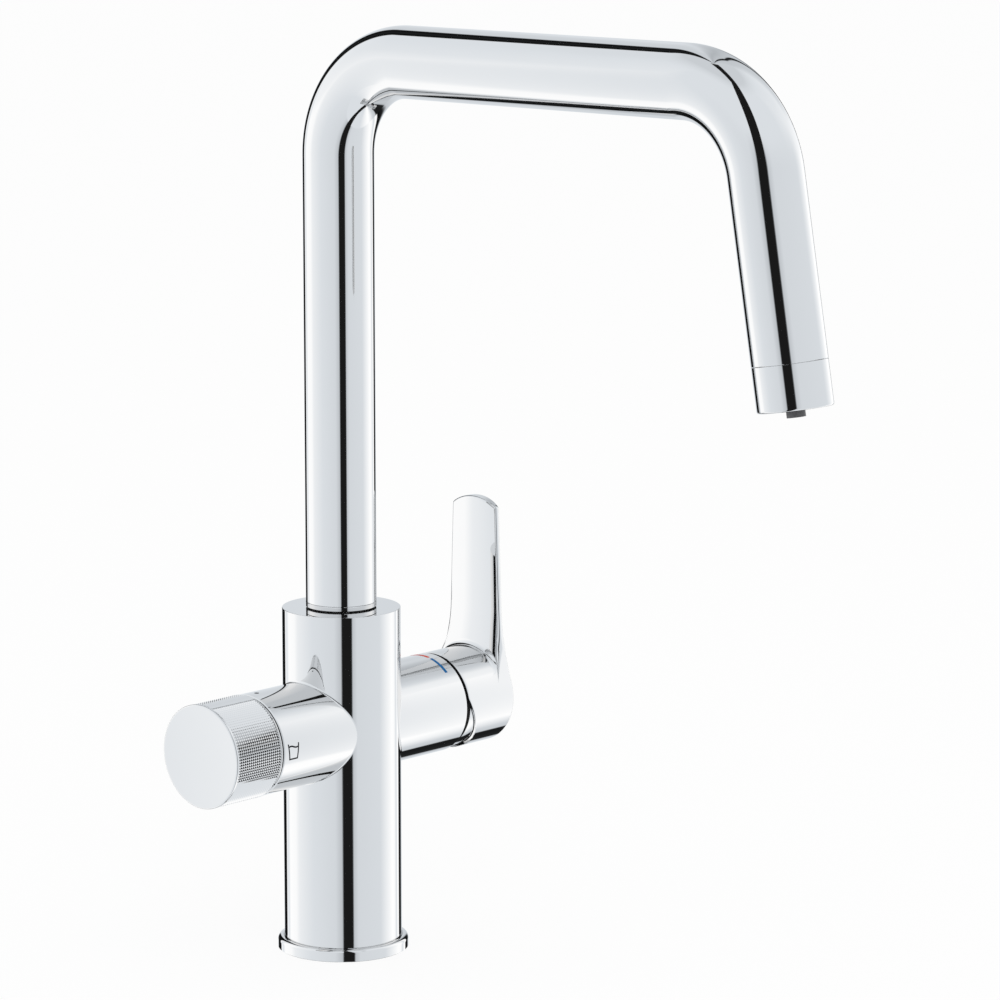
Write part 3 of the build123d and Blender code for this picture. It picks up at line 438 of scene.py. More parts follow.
def noisyMaterial(name, values):
    # one shader, with fine noise in its colour and roughness
    material = bpy.data.materials.new(name)
    material.use_nodes = True
    nodes = material.node_tree.nodes
    links = material.node_tree.links
    shader = nodes["Principled BSDF"]
    shader.inputs["Metallic"].default_value = values["metal"]
    shader.inputs["Specular IOR Level"].default_value = values.get("specular", 0.5)
    place = nodes.new("ShaderNodeTexCoord")
    grain = nodes.new("ShaderNodeTexNoise")
    grain.inputs["Scale"].default_value = values["grain"]
    grain.inputs["Detail"].default_value = 3
    links.new(place.outputs["Object"], grain.inputs["Vector"])
    tone = nodes.new("ShaderNodeValToRGB")
    darker = [channel * (1 - values["mottle"]) for channel in values["colour"]]
    tone.color_ramp.elements[0].color = (*darker, 1)
    tone.color_ramp.elements[1].color = (*values["colour"], 1)
    tone.color_ramp.elements[0].position = 0.35
    tone.color_ramp.elements[1].position = 0.65
    links.new(grain.outputs["Fac"], tone.inputs[0])
    links.new(tone.outputs[0], shader.inputs["Base Color"])
    rough = nodes.new("ShaderNodeMapRange")
    low, high = values["rough"]
    rough.inputs["To Min"].default_value = low
    rough.inputs["To Max"].default_value = high
    links.new(grain.outputs["Fac"], rough.inputs["Value"])
    links.new(rough.outputs[0], shader.inputs["Roughness"])
    if values.get("bump"):
        bump = nodes.new("ShaderNodeBump")
        bump.inputs["Strength"].default_value = values["bump"]
        bump.inputs["Distance"].default_value = 0.02 * mm
        links.new(grain.outputs["Fac"], bump.inputs["Height"])
        links.new(bump.outputs[0], shader.inputs["Normal"])
    return material


finishes = {
    "chrome": {"colour": (0.7, 0.7, 0.7), "metal": 1, "grain": 60, "mottle": 0.004, "rough": (0.02, 0.05)},
    "brass": {"colour": (0.83, 0.62, 0.33), "metal": 1, "grain": 900, "mottle": 0.08, "rough": (0.25, 0.4),
        "bump": 0.2},
    "steel": {"colour": (0.66, 0.66, 0.67), "metal": 1, "grain": 1200, "mottle": 0.08, "rough": (0.2, 0.35),
        "bump": 0.2},
    "black_rubber": {"colour": (0.02, 0.02, 0.021), "metal": 0, "grain": 1500, "mottle": 0.3,
        "rough": (0.6, 0.8), "bump": 0.4},
    "white_plastic": {"colour": (0.8, 0.8, 0.79), "metal": 0, "grain": 1100, "mottle": 0.03,
        "rough": (0.35, 0.5), "bump": 0.2},
    "grey_plastic": {"colour": (0.11, 0.11, 0.115), "metal": 0, "grain": 1400, "mottle": 0.12,
        "rough": (0.4, 0.55), "bump": 0.3},
    "clear_hose": {"colour": (0.75, 0.8, 0.82), "metal": 0, "grain": 400, "mottle": 0.03,
        "rough": (0.15, 0.25)},
    "ceramic": {"colour": (0.85, 0.84, 0.8), "metal": 0, "grain": 2000, "mottle": 0.02, "rough": (0.1, 0.2)},
    "red_mark": {"colour": (0.66, 0.07, 0.035), "metal": 0, "grain": 1600, "mottle": 0.08,
        "rough": (0.5, 0.6), "specular": 0.1},
    "blue_mark": {"colour": (0.012, 0.13, 0.34), "metal": 0, "grain": 1600, "mottle": 0.08,
        "rough": (0.5, 0.6), "specular": 0.1},
    "dark_mark": {"colour": (0.015, 0.016, 0.018), "metal": 0, "grain": 1600, "mottle": 0.15,
        "rough": (0.5, 0.6), "specular": 0.1},
    # painted shade: a near-black matt coat for hollows, gaps and inner faces where shade falls
    "painted_shade_coat": {"colour": (0.012, 0.012, 0.012), "metal": 0, "grain": 1300, "mottle": 0.2,
        "rough": (0.6, 0.75), "specular": 0.1},
}
materials = {name: noisyMaterial(name, values) for name, values in finishes.items()}


def dressNodes():
    # every CAD node that stays gets the procedural finish of its own slot
    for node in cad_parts.values():
        for spot in node.material_slots:
            spot.material = materials[spot.material.name.split(".")[0]]


dressNodes()

print("column")

columnLow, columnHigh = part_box("body_column")
columnValues = {
    "radius": columnHigh.y / mm,
    "top": columnHigh.z / mm,
    "rim": 0.25,
    "bead": 0.9,
    "foot": (21.8, 1.8),
    "bore": (11.05, 34.5),
    "neckRadius": 20.15,
    "neckHeight": 91.0,
    "rightEnd": columnHigh.x / mm,
    "leftEnd": -columnLow.x / mm,
    "neckRim": 0.35,
    "sides": 512,
}


def neckRings(end, radius, rim, inner):
    return [(inner, 0.002), (inner, radius), (end - rim, radius), (end, radius - rim), (end, 0.002)]


def makeColumn(values):
    r = values["radius"]
    top = values["top"]
    rim = values["rim"]
    footR, footH = values["foot"]
    boreR, boreDepth = values["bore"]
    rings = [(0, 0.002), (0, footR), (footH, footR), (footH, r)]
    rings += roundedRings(0, 90, (top - rim, r - rim), rim, 4)
    rings += [(top, boreR), (top - boreDepth, boreR), (top - boreDepth, 0.002)]
    column = turnedPiece("bodyColumn", rings, values["sides"])
    place = (0, 0, values["neckHeight"])
    neckR = values["neckRadius"]
    right = turnedPiece("rightNeck", neckRings(values["rightEnd"], neckR, values["neckRim"], 12),
        values["sides"], pointRight, place)
    left = turnedPiece("leftNeck", neckRings(values["leftEnd"], neckR, values["neckRim"], 12),
        values["sides"], pointLeft, place)
    combine(column, right, "UNION")
    combine(column, left, "UNION")
    cutters = [
        ([(32, 0.002), (32, 14.05), (47.5, 14.05), (47.5, 16.45), (53, 16.45), (53, 0.002)], pointRight),
        ([(26, 0.002), (26, 10.4), (41, 10.4), (41, 14.0), (54, 14.0), (54, 0.002)], pointLeft),
    ]
    for number, (cutRings, turn) in enumerate(cutters):
        combine(column, turnedPiece(f"cutter{number}", cutRings, 96, turn, place), "DIFFERENCE")
    for angle, radius, depth in ((45, 4.6, 11), (-45, 4.6, 11), (160, 4.6, 11), (230, 3.4, 18)):
        turn = math.radians(angle)
        spot = (12.2 * math.cos(turn), 12.2 * math.sin(turn), 0)
        port = turnedPiece("port", [(-1, 0.002), (-1, radius), (depth, radius), (depth, 0.002)], 64,
            pointUp, spot)
        combine(column, port, "DIFFERENCE")
    hole = turnedPiece("screwHole", [(10, 0.002), (10, 2.5), (25, 2.5), (25, 0.002)], 64,
        (math.radians(-90), 0, 0), (0, 0, 126))
    combine(column, hole, "DIFFERENCE")
    smoothPiece(column)
    beads = [makeBead(values, side) for side in (-1, 1)]
    selectOnly(column)
    for bead in beads:
        bead.select_set(True)
    bpy.ops.object.join()
    return column


def makeBead(values, side):
    # the small hollow round where a neck runs into the column, as a ball rolled along the corner leaves it
    r = values["neckRadius"]
    columnR = values["radius"]
    ball = values["bead"]

    def beadPoint(across, along):
        angle = 2 * math.pi * along
        up = Vector((0, math.cos(angle), math.sin(angle)))
        centre = up * (r + ball)
        centre.x = side * math.sqrt((columnR + ball) ** 2 - centre.y ** 2)
        toNeck = -up
        toColumn = -Vector((centre.x, centre.y, 0)).normalized()
        if across == 0 or across > 0.95:
            spot = centre + (toNeck + toColumn) * ball * 1.05
        else:
            share = (across * 10 - 1) / 8
            spot = centre + toNeck.slerp(toColumn, share) * ball
        return spot.x, spot.y, spot.z + values["neckHeight"]

    bead = wrappedGrid("bead", 10, 360, beadPoint)
    smoothPiece(bead, 50)
    return bead


# painted shade: the neck bores with their end faces, and the bore in the top, get the near-black coat, as
# shade in and around these hollows
def columnShadeAt(x, y, z):
    fromNeck = math.hypot(y, z - columnValues["neckHeight"])
    return (abs(x) > 26 and fromNeck < 19.7) or (math.hypot(x, y) < 11.1 and z > 100)


column = makeColumn(columnValues)
finishPiece(column, "tap_body", materials["chrome"], ["body_column"], columnShadeAt)

ringValues = {"radius": 26.1, "height": 4.8, "round": 1.8, "lip": 0.5, "bore": 23.52}


def makeBaseRing(values):
    r = values["radius"]
    h = values["height"]
    edge = values["round"]
    bore = values["bore"]
    lip = values["lip"]
    rings = [(0, 22.0), (0, r - 0.1), (0.1, r)]
    rings += roundedRings(0, 90, (h - edge, r - edge), edge, 10)
    rings += [(h, bore + lip), (h - lip, bore), (1.8, bore), (1.8, 22.0), (0, 22.0)]
    ring = turnedPiece("baseRing", rings, 256)
    smoothPiece(ring)
    return ring


finishPiece(makeBaseRing(ringValues), "tap_body", materials["chrome"], ["base_ring"])

print("spout")

spoutValues = {
    "radius": 14.0,
    "wall": 1.5,
    "start": 140.95,
    "arm": 355.4,
    "reach": 206.7,
    "bend": 37.5,
    "tilt": 10.0,
    "leg": 99.2,
    "sides": 160,
}


def makeSpout(values):
    r = values["radius"]
    bend = values["bend"]
    arm = values["arm"]
    reach = values["reach"]
    turn2 = 90 - values["tilt"]
    cutBack = bend * math.tan(math.radians(turn2 / 2))
    clearSelection()
    bpy.ops.mesh.primitive_circle_add(vertices=values["sides"], radius=r * mm,
        location=(0, 0, values["start"] * mm))
    tube = bpy.context.object
    tube.name = "spoutTube"
    bpy.ops.object.transform_apply(location=True)
    bpy.ops.object.mode_set(mode="EDIT")
    bpy.ops.mesh.select_all(action="SELECT")
    rise = arm - bend - values["start"]
    bpy.ops.mesh.extrude_region_move(TRANSFORM_OT_translate={"value": (0, 0, rise * mm)})
    bpy.ops.mesh.spin(steps=36, angle=math.radians(-90), center=(0, -bend * mm, (arm - bend) * mm),
        axis=(1, 0, 0))
    run = reach - bend - cutBack
    bpy.ops.mesh.extrude_region_move(TRANSFORM_OT_translate={"value": (0, -run * mm, 0)})
    centre = (0, -(reach - cutBack) * mm, (arm - bend) * mm)
    bpy.ops.mesh.spin(steps=32, angle=math.radians(-turn2), center=centre, axis=(1, 0, 0))
    tilt = math.radians(values["tilt"])
    down = values["leg"] - cutBack
    step = (0, -down * math.sin(tilt) * mm, -down * math.cos(tilt) * mm)
    bpy.ops.mesh.extrude_region_move(TRANSFORM_OT_translate={"value": step})
    bpy.ops.object.mode_set(mode="OBJECT")
    tidyMesh(tube)
    applyModifier(tube, "SOLIDIFY", thickness=values["wall"] * mm, offset=-1)
    smoothPiece(tube)
    return tube


finishPiece(makeSpout(spoutValues), "spout", materials["chrome"], ["spout_tube"])

legTurn = (math.radians(180 - spoutValues["tilt"]), 0, 0)
legPlace = (0, -spoutValues["reach"], spoutValues["arm"])

outletValues = {"start": 99.35, "end": 116.2, "radius": 14.0, "round": 0.8, "mouth": 12.17}


def makeOutlet(values):
    r = values["radius"]
    end = values["end"]
    edge = values["round"]
    start = values["start"]
    mouth = values["mouth"]
    rings = [(start - 8, 9.6), (start - 8, 10.98), (start, 10.98), (start, r - 0.15), (start + 0.15, r)]
    rings += roundedRings(0, 90, (end - edge, r - edge), edge, 8)
    rings += [(end, mouth + 0.2), (end - 0.2, mouth), (start + 5, mouth), (start + 5, 9.6), (start - 8, 9.6)]
    sleeve = turnedPiece("outletSleeve", rings, 192, legTurn, legPlace)
    smoothPiece(sleeve)
    return sleeve


finishPiece(makeOutlet(outletValues), "spout", materials["chrome"], ["outlet_sleeve"])

footValues = {"radius": 14.0, "bottom": 139.0, "top": 140.8, "edge": 0.12, "lip": 138.55}


def makeSpoutFoot(values):
    r = values["radius"]
    low = values["bottom"]
    high = values["top"]
    edge = values["edge"]
    lip = values["lip"]
    # the thin ring hanging down at lip height is a dark sheet of painted shade, for the dark gap line over
    # the washer
    rings = [(low, 13.22), (lip, 13.22), (lip, 13.4), (low, 13.4), (low, r - edge), (low + edge, r),
        (high - edge, r)]
    rings += [(high, r - edge), (high, 12.48), (152.8, 12.48), (152.8, 3.0), (162.8, 2.98), (162.8, 2.2),
        (100.5, 2.2)]
    rings += [(100.5, 4), (109, 4), (109, 11.0), (139.0, 11.0), (low, 13.22)]
    foot = turnedPiece("spoutFoot", rings, 192)
    smoothPiece(foot)
    return foot




# painted shade: the foot's underside and its thin lip get the near-black coat, as the shadow gap over the
# washer
def footShadeAt(x, y, z):
    return z < footValues["bottom"] + 0.01


finishPiece(makeSpoutFoot(footValues), "spout", materials["chrome"], ["spout_adaptor"], footShadeAt)

print("filter knob")

knobValues = {
    "start": 53.4,
    "face": 78.5,
    "radius": 20.45,
    "rim": 1.0,
    "capRim": 1.2,
    "capRound": 0.6,
    "pitch": 1.1,
    "rows": 116,
    "depth": 0.46,
    "stripe": (76, 91),
    "groove": (19.4, 0.45),
    "dish": 0.95,
    "boreRadius": 17.6,
}


def makeKnobSleeve(values):
    r = values["radius"]
    start = values["start"]
    front = values["face"] - values["capRim"]
    knurlStart = start + values["rim"]
    columns = round((front - knurlStart) / values["pitch"])
    pitch = (front - knurlStart) / columns
    low = r - values["depth"]
    firstTurn, lastTurn = values["stripe"]
    neckR, gap = values["groove"]
    rings = [(start, values["boreRadius"]), (start, neckR), (start + gap, neckR), (start + gap, r - 0.12),
        (start + gap + 0.12, r)]
    rings += [(knurlStart - 0.1, r)]
    rings += [(knurlStart + pitch * number, low) for number in range(columns + 1)]
    rings += [(front, 17.62), (front - 4.8, 17.62), (front - 4.8, 2.3), (front - 8.8, 2.3),
        (front - 8.8, values["boreRadius"])]
    rings += [(start, values["boreRadius"])]
    sleeve = turnedPiece("knobSleeve", rings, values["rows"], pointLeft, (0, 0, 91))
    selectOnly(sleeve)
    bpy.ops.object.mode_set(mode="EDIT")
    bpy.ops.mesh.select_mode(type="FACE")
    bpy.ops.mesh.select_all(action="DESELECT")
    bpy.ops.object.mode_set(mode="OBJECT")
    for face in sleeve.data.polygons:
        x, y, z = face.center / mm
        spread = math.hypot(y, z - 91)
        isBand = abs(spread - low) < 0.2 and -front < x < -knurlStart and abs(face.normal.x) < 0.2
        turn = math.degrees(math.atan2(z - 91, -y))
        face.select = isBand and not firstTurn < turn < lastTurn
    bpy.ops.object.mode_set(mode="EDIT")
    bpy.ops.mesh.poke(offset=values["depth"] * mm, use_relative_offset=False, center_mode="MEDIAN")
    bpy.ops.mesh.select_all(action="DESELECT")
    bpy.ops.object.mode_set(mode="OBJECT")
    # the smooth index stripe stands level with the tips of the knurl
    for face in sleeve.data.polygons:
        x, y, z = face.center / mm
        turn = math.degrees(math.atan2(z - 91, -y))
        isBand = len(face.vertices) == 4 and abs(math.hypot(y, z - 91) - low) < 0.2
        face.select = isBand and -front < x < -knurlStart and firstTurn < turn < lastTurn
    bpy.ops.object.mode_set(mode="EDIT")
    bpy.ops.mesh.extrude_region_shrink_fatten(TRANSFORM_OT_shrink_fatten={"value": values["depth"] * mm})
    bpy.ops.object.mode_set(mode="OBJECT")
    tidyMesh(sleeve)
    smoothPiece(sleeve, 18)
    return sleeve


# painted shade: the bore inside the knob and the narrow groove at its back get the near-black coat, as shade
# in these hollows
def knobShadeAt(x, y, z):
    fromAxis = math.hypot(y, z - 91)
    neckR, gap = knobValues["groove"]
    return fromAxis < 17.7 or (abs(x) < knobValues["start"] + gap + 0.01 and fromAxis < 20.2)


sleevePiece = makeKnobSleeve(knobValues)
finishPiece(sleevePiece, "filter_handle", materials["chrome"], ["knob_sleeve"], knobShadeAt)


def makeKnobCap(values):
    r = values["radius"]
    face = values["face"]
    front = face - values["capRim"]
    edge = values["capRound"]
    rings = [(front - 3, 0.002), (front - 3, 17.6), (front, 17.6), (front, r - 0.1), (front + 0.1, r)]
    rings += roundedRings(0, 90, (face - edge, r - edge), edge, 8)
    # the face is a shallow dish inside the rim
    flat = r - edge - 0.25
    ball = (flat ** 2 + values["dish"] ** 2) / (2 * values["dish"])
    for step in range(13):
        radius = flat * (1 - step / 12) + 0.002
        rings.append((face - values["dish"] + ball - math.sqrt(ball ** 2 - radius ** 2), radius))
    cap = turnedPiece("knobCap", rings, 256, pointLeft, (0, 0, 91))
    smoothPiece(cap, 12)
    return cap


finishPiece(makeKnobCap(knobValues), "filter_handle", materials["chrome"], ["knob_cap"])

print("mixer lever")

domeValues = {"centre": 58.5, "radius": 19.2, "wall": 1.6, "back": 52.4, "front": 65.0, "opening": 12.6,
    "bore": 14.82, "shadeEnd": 55.2}


def makeDome(values):
    centre = values["centre"]
    r = values["radius"]
    back = values["back"]
    front = values["front"]
    rings = [(back, values["bore"])]
    first = math.degrees(math.asin((back - centre) / r))
    last = math.degrees(math.asin((front - centre) / r))
    rings += roundedRings(first, last, (centre, 0), r, 36)
    inner = r - values["wall"]
    innerLast = math.degrees(math.asin((front - centre) / inner))
    rings += roundedRings(innerLast, -20, (centre, 0), inner, 24)
    rings += [(57.0, values["bore"]), (back, values["bore"])]
    dome = turnedPiece("domeCover", rings, 256, pointRight, (0, 0, 91))
    smoothPiece(dome)
    return dome


# painted shade and painted dark reflection: the dome's band next to the neck, up to shadeEnd, gets the
# near-black coat where it sits in the neck's shade and reflects the dark gap; the opening and the inner
# shell get the same coat as shade
def domeShadeAt(x, y, z):
    fromAxis = math.hypot(y, z - 91)
    return (x < domeValues["shadeEnd"] or fromAxis < domeValues["opening"]
        or math.dist((x, y, z), (58.5, 0, 91)) < 18)


finishPiece(makeDome(domeValues), "tap_body", materials["chrome"], ["dome_cover"], domeShadeAt)

leverValues = {
    "axis": 91.0,
    "radius": 20.15,
    "back": 53.4,
    "end": 80.0,
    "crown": 3.88,
    "tipCrown": 1.5,
    "cutUp": 4.0,
    "cutAngle": 24.0,
    "cavity": (58.5, 19.5),
    "boss": (8.0, 66.1),
    "top": 172.9,
    "topRadius": 21.0,
    "halfWidth": 12.1,
    "taper": 1.9,
    "flare": 100.0,
    "corner": 1.4,
    "inner": 78.3,
    "innerTurn": 12.0,
    "rootRadius": 65.0,
    "rootTop": 126.0,
    "innerEdge": 1.1,
    "footEdge": 7.0,
    "footEdgeTop": 146.0,
    "footEdgeGrowth": 2.7,
    "outerEdge": 0.6,
    "rootFillet": 2.3,
    "rootSpread": 9.0,
    "rootReach": 7.0,
}


class LeverShape:
    # the lever's outline seen along its axis, and its inner and outer surfaces

    def __init__(self, values):
        self.v = values
        v = values
        self.cornerZ = v["top"] - v["topRadius"] + math.sqrt(v["topRadius"] ** 2 - v["halfWidth"] ** 2)
        self.taper = math.radians(v["taper"])
        offset = v["halfWidth"] * math.cos(self.taper) + (self.cornerZ - v["axis"]) * math.sin(self.taper)
        reach = v["radius"] + v["flare"]
        self.hubTurn = math.acos((offset + v["flare"]) / reach) + self.taper
        self.flareY = reach * math.cos(self.hubTurn)
        self.flareZ = v["axis"] + reach * math.sin(self.hubTurn)

    def flarePoint(self, turn):
        flare = self.v["flare"]
        return self.flareY - flare * math.cos(turn), self.flareZ - flare * math.sin(turn)

    def halfWidth(self, height):
        v = self.v
        if height >= self.flarePoint(self.taper)[1]:
            return v["halfWidth"] + (self.cornerZ - height) * math.tan(self.taper)
        if height >= self.flarePoint(self.hubTurn)[1]:
            return self.flareY - math.sqrt(v["flare"] ** 2 - (height - self.flareZ) ** 2)
        return math.sqrt(v["radius"] ** 2 - (height - v["axis"]) ** 2)

    def outerX(self, y, z):
        v = self.v
        crown = v["crown"]
        if z <= v["axis"]:
            ball = (v["radius"] ** 2 + crown ** 2) / (2 * crown)
            return v["end"] + crown - ball + math.sqrt(ball ** 2 - (z - v["axis"]) ** 2 - y ** 2)
        half = self.halfWidth(z)
        share = (z - v["axis"]) / (v["top"] - v["axis"])
        crown += share * (v["tipCrown"] - crown)
        arc = (half ** 2 + crown ** 2) / (2 * crown)
        return v["end"] + crown - arc + math.sqrt(arc ** 2 - y ** 2)

    def innerTurnAt(self, y, z):
        # the inner face is rounded across its width, so its normal turns towards the edges
        half = self.halfWidth(max(z, self.flarePoint(self.hubTurn)[1]))
        return math.asin(min(abs(y) / half, 1) * math.sin(math.radians(self.v["innerTurn"])))

    def innerX(self, y, z):
        v = self.v
        z = max(z, self.flarePoint(self.hubTurn)[1])
        drop = max(v["rootTop"] - z, 0)
        edge = v["inner"] - v["rootRadius"] + math.sqrt(v["rootRadius"] ** 2 - drop ** 2)
        turn = math.radians(v["innerTurn"])
        arc = self.halfWidth(z) / math.sin(turn)
        return edge + arc * math.cos(turn) - arc * math.cos(self.innerTurnAt(y, z))

    def edgeRound(self, z):
        # the edge's rounding grows towards the hub
        v = self.v
        share = min(max((v["footEdgeTop"] - z) / (v["footEdgeTop"] - v["axis"] - v["radius"]), 0), 1)
        return v["innerEdge"] + (v["footEdge"] - v["innerEdge"]) * share ** v["footEdgeGrowth"]


def halfOutline(shape, counts):
    # points up the +Y side, from under the hub to the middle of the tip, each with its place
    # on the hub's circle
    v = shape.v
    circle, flare, side, corner, top = counts
    axis = v["axis"]
    hubDegrees = math.degrees(shape.hubTurn)
    points = []
    for step in range(circle):
        angle = -90 + (hubDegrees + 90) * step / circle
        points.append((angle, v["radius"] * math.cos(math.radians(angle)),
            axis + v["radius"] * math.sin(math.radians(angle))))
    upper = []
    for step in range(flare):
        turn = shape.hubTurn + (shape.taper - shape.hubTurn) * step / flare
        upper.append(shape.flarePoint(turn))
    # the tip's corner: a small arc that touches the straight side and the top arc
    small = v["corner"]
    topCentre = v["top"] - v["topRadius"]
    sideY = v["halfWidth"]
    low = topCentre
    high = v["top"]
    for _ in range(50):
        z = (low + high) / 2
        y = sideY + (shape.cornerZ - z) * math.tan(shape.taper) - small / math.cos(shape.taper)
        if math.hypot(y, z - topCentre) < v["topRadius"] - small:
            low = z
        else:
            high = z
    cornerY, cornerZ = y, z
    start = shape.flarePoint(shape.taper)
    end = (cornerY + small * math.cos(shape.taper), cornerZ + small * math.sin(shape.taper))
    for step in range(side):
        t = step / side
        upper.append((start[0] + (end[0] - start[0]) * t, start[1] + (end[1] - start[1]) * t))
    first = shape.taper
    last = math.atan2(cornerZ - topCentre, cornerY)
    for step in range(corner):
        angle = first + (last - first) * step / corner
        upper.append((cornerY + small * math.cos(angle), cornerZ + small * math.sin(angle)))
    for step in range(top + 1):
        angle = last + (math.pi / 2 - last) * step / top
        upper.append((v["topRadius"] * math.cos(angle), topCentre + v["topRadius"] * math.sin(angle)))
    lengths = [0]
    for number in range(1, len(upper)):
        lengths.append(lengths[-1] + math.dist(upper[number], upper[number - 1]))
    for length, (y, z) in zip(lengths, upper):
        share = length / lengths[-1]
        angle = hubDegrees + (90 - hubDegrees) * share
        points.append((angle, y, z))
    return points


def makeLever(values):
    shape = LeverShape(values)
    v = values
    half = halfOutline(shape, (40, 28, 22, 6, 16))
    outline = half + [(180 - angle, -y, z) for angle, y, z in reversed(half[1:-1])]
    count = len(outline)
    axis = v["axis"]
    hubR = v["radius"]
    cavityX, cavityR = v["cavity"]
    bossR, bossX = v["boss"]
    slope = math.tan(math.radians(v["cutAngle"]))
    hubDegrees = math.degrees(shape.hubTurn)
    topR = v["topRadius"]

    def backX(z):
        return v["back"] + max(0, axis + v["cutUp"] - z) * slope

    def onCircle(angle, radius):
        turn = math.radians(angle)
        return radius * math.cos(turn), axis + radius * math.sin(turn)

    def mouth(angle):
        radius = cavityR
        for _ in range(12):
            y, z = onCircle(angle, radius)
            radius = math.sqrt(cavityR ** 2 - (backX(z) - cavityX) ** 2)
        return radius, backX(onCircle(angle, radius)[1])

    def inward(number, distance):
        # the outline point moved inwards, square to the outline
        before = outline[(number - 1) % count]
        after = outline[(number + 1) % count]
        dy = after[1] - before[1]
        dz = after[2] - before[2]
        length = math.hypot(dy, dz)
        angle, y, z = outline[number]
        return y - dz / length * distance, z + dy / length * distance

    rows = []
    rows.append([(bossX, *onCircle(angle, 0.001)) for angle, y, z in outline])
    rows.append([(bossX, *onCircle(angle, bossR)) for angle, y, z in outline])
    bossTurn = math.asin(bossR / cavityR)
    for step in range(16):
        row = []
        for angle, y, z in outline:
            mouthR, mouthX = mouth(angle)
            mouthTurn = math.atan2(mouthR, mouthX - cavityX)
            turn = bossTurn + (mouthTurn - bossTurn) * step / 15
            row.append((cavityX + cavityR * math.cos(turn), *onCircle(angle, cavityR * math.sin(turn))))
        rows.append(row)
    for radius, push in ((hubR - 0.25, 0), (hubR - 0.07, 0.07), (hubR, 0.25)):
        rows.append([(backX(onCircle(angle, radius)[1]) + push, *onCircle(angle, radius))
            for angle, y, z in outline])

    fillet = v["rootFillet"]
    outer = v["outerEdge"]
    endTurn = math.radians(66)

    def ledge(number):
        # how far the outline stands out from the hub's circle
        angle, y, z = outline[number]
        return max(0, math.hypot(y, z - axis) - hubR)

    def rootX(angle):
        y, z = onCircle(angle, hubR)
        return shape.innerX(y, z)

    def sideEnd(number):
        # where the side wall meets the outer edge's rounding
        endY, endZ = inward(number, outer * (1 - math.cos(endTurn)))
        return shape.outerX(endY, endZ) - outer * math.sin(endTurn)

    def edgeStart(number):
        # where the inner face meets the edge's rounding: its size across and along, its first turn,
        # and the point
        angle, y, z = outline[number]
        size = min(shape.edgeRound(z), 0.55 * ledge(number))
        outY, outZ = inward(number, -1)
        tilt = math.tan(shape.innerTurnAt(y, z)) * abs(outY - y)
        reach = max(min(size, 0.9 * (sideEnd(number) - shape.innerX(y, z))), 1e-6)
        turn = math.atan(tilt * size / reach)
        return size, reach, turn, inward(number, size * (1 - math.sin(turn)))

    def rootSize(number):
        # the root's rounding across and along: it grows long where the lever's foot runs into the hub
        out = ledge(number)
        size = min(fillet, 0.45 * out)
        share = min(max(1 - out / v["rootReach"], 0), 1)
        return size, size + v["rootSpread"] * share ** 1.3

    steps = 14
    for step in range(1, steps + 1):
        row = []
        for number, (angle, y, z) in enumerate(outline):
            hy, hz = onCircle(angle, hubR)
            start = backX(hz) + 0.25
            end = rootX(angle) - rootSize(number)[1]
            row.append((start + (end - start) * step / steps, hy, hz))
        rows.append(row)
    # root fillet, then up the inner face in arches that grow from the hub to the outline
    arches = 44
    filletSteps = 8

    def archPoint(number, share):
        angle, y, z = outline[number]
        hy, hz = onCircle(angle, hubR)
        goal = edgeStart(number)[3]
        return hy + (goal[0] - hy) * share, hz + (goal[1] - hz) * share

    def filletShare(number):
        angle, y, z = outline[number]
        size = rootSize(number)[0]
        length = max(math.dist(onCircle(angle, hubR), edgeStart(number)[3]), 1e-6)
        return rootSize(number)[1], min(size / length, 1)

    for step in range(1, filletSteps + 1):
        row = []
        for number, (angle, y, z) in enumerate(outline):
            size, share = filletShare(number)
            turn = math.pi / 2 * step / filletSteps
            py, pz = archPoint(number, share * (1 - math.cos(turn)))
            base = rootX(angle)
            face = shape.innerX(py, pz)
            row.append((base - size * (1 - math.sin(turn)) + (face - base) * step / filletSteps, py, pz))
        rows.append(row)
    for step in range(1, arches + 1):
        row = []
        for number in range(count):
            first = filletShare(number)[1]
            py, pz = archPoint(number, first + (1 - first) * (step / arches) ** 1.5)
            row.append((shape.innerX(py, pz), py, pz))
        rows.append(row)
    edgeSteps = 8
    for step in range(1, edgeSteps + 1):
        row = []
        for number in range(count):
            size, reach, first, goal = edgeStart(number)
            turn = first + (math.pi / 2 - first) * step / edgeSteps
            py, pz = inward(number, size * (1 - math.sin(turn)))
            row.append((shape.innerX(*goal) + reach * (math.cos(first) - math.cos(turn)), py, pz))
        rows.append(row)
    wallSteps = 4
    for step in range(1, wallSteps + 1):
        row = []
        for number, (angle, y, z) in enumerate(outline):
            size, reach, first, goal = edgeStart(number)
            start = shape.innerX(*goal) + reach * math.cos(first)
            end = max(sideEnd(number), start + 0.02)
            row.append((start + (end - start) * step / wallSteps, y, z))
        rows.append(row)
    for step in range(1, 6):
        row = []
        for number in range(count):
            turn = endTurn * step / 5
            py, pz = inward(number, outer * (1 - math.cos(turn)))
            row.append((sideEnd(number) + outer * math.sin(turn), py, pz))
        rows.append(row)
    spineTop = v["top"] - topR * 0.55
    backRows = 30
    for step in range(1, backRows + 1):
        row = []
        for number, (angle, y, z) in enumerate(outline):
            startY, startZ = inward(number, outer * (1 - math.cos(endTurn)))
            spineZ = min(max(z, axis), spineTop)
            share = 1 - step / backRows
            py = startY * share
            pz = spineZ + (startZ - spineZ) * share
            row.append((shape.outerX(py, pz), py, pz))
        rows.append(row)

    def leverPoint(across, along):
        number = round(across * count) % count
        return rows[round(along * (len(rows) - 1))][number]

    lever = wrappedGrid("mixerLever", count, len(rows) - 1, leverPoint)
    smoothPiece(lever, 40)
    return lever


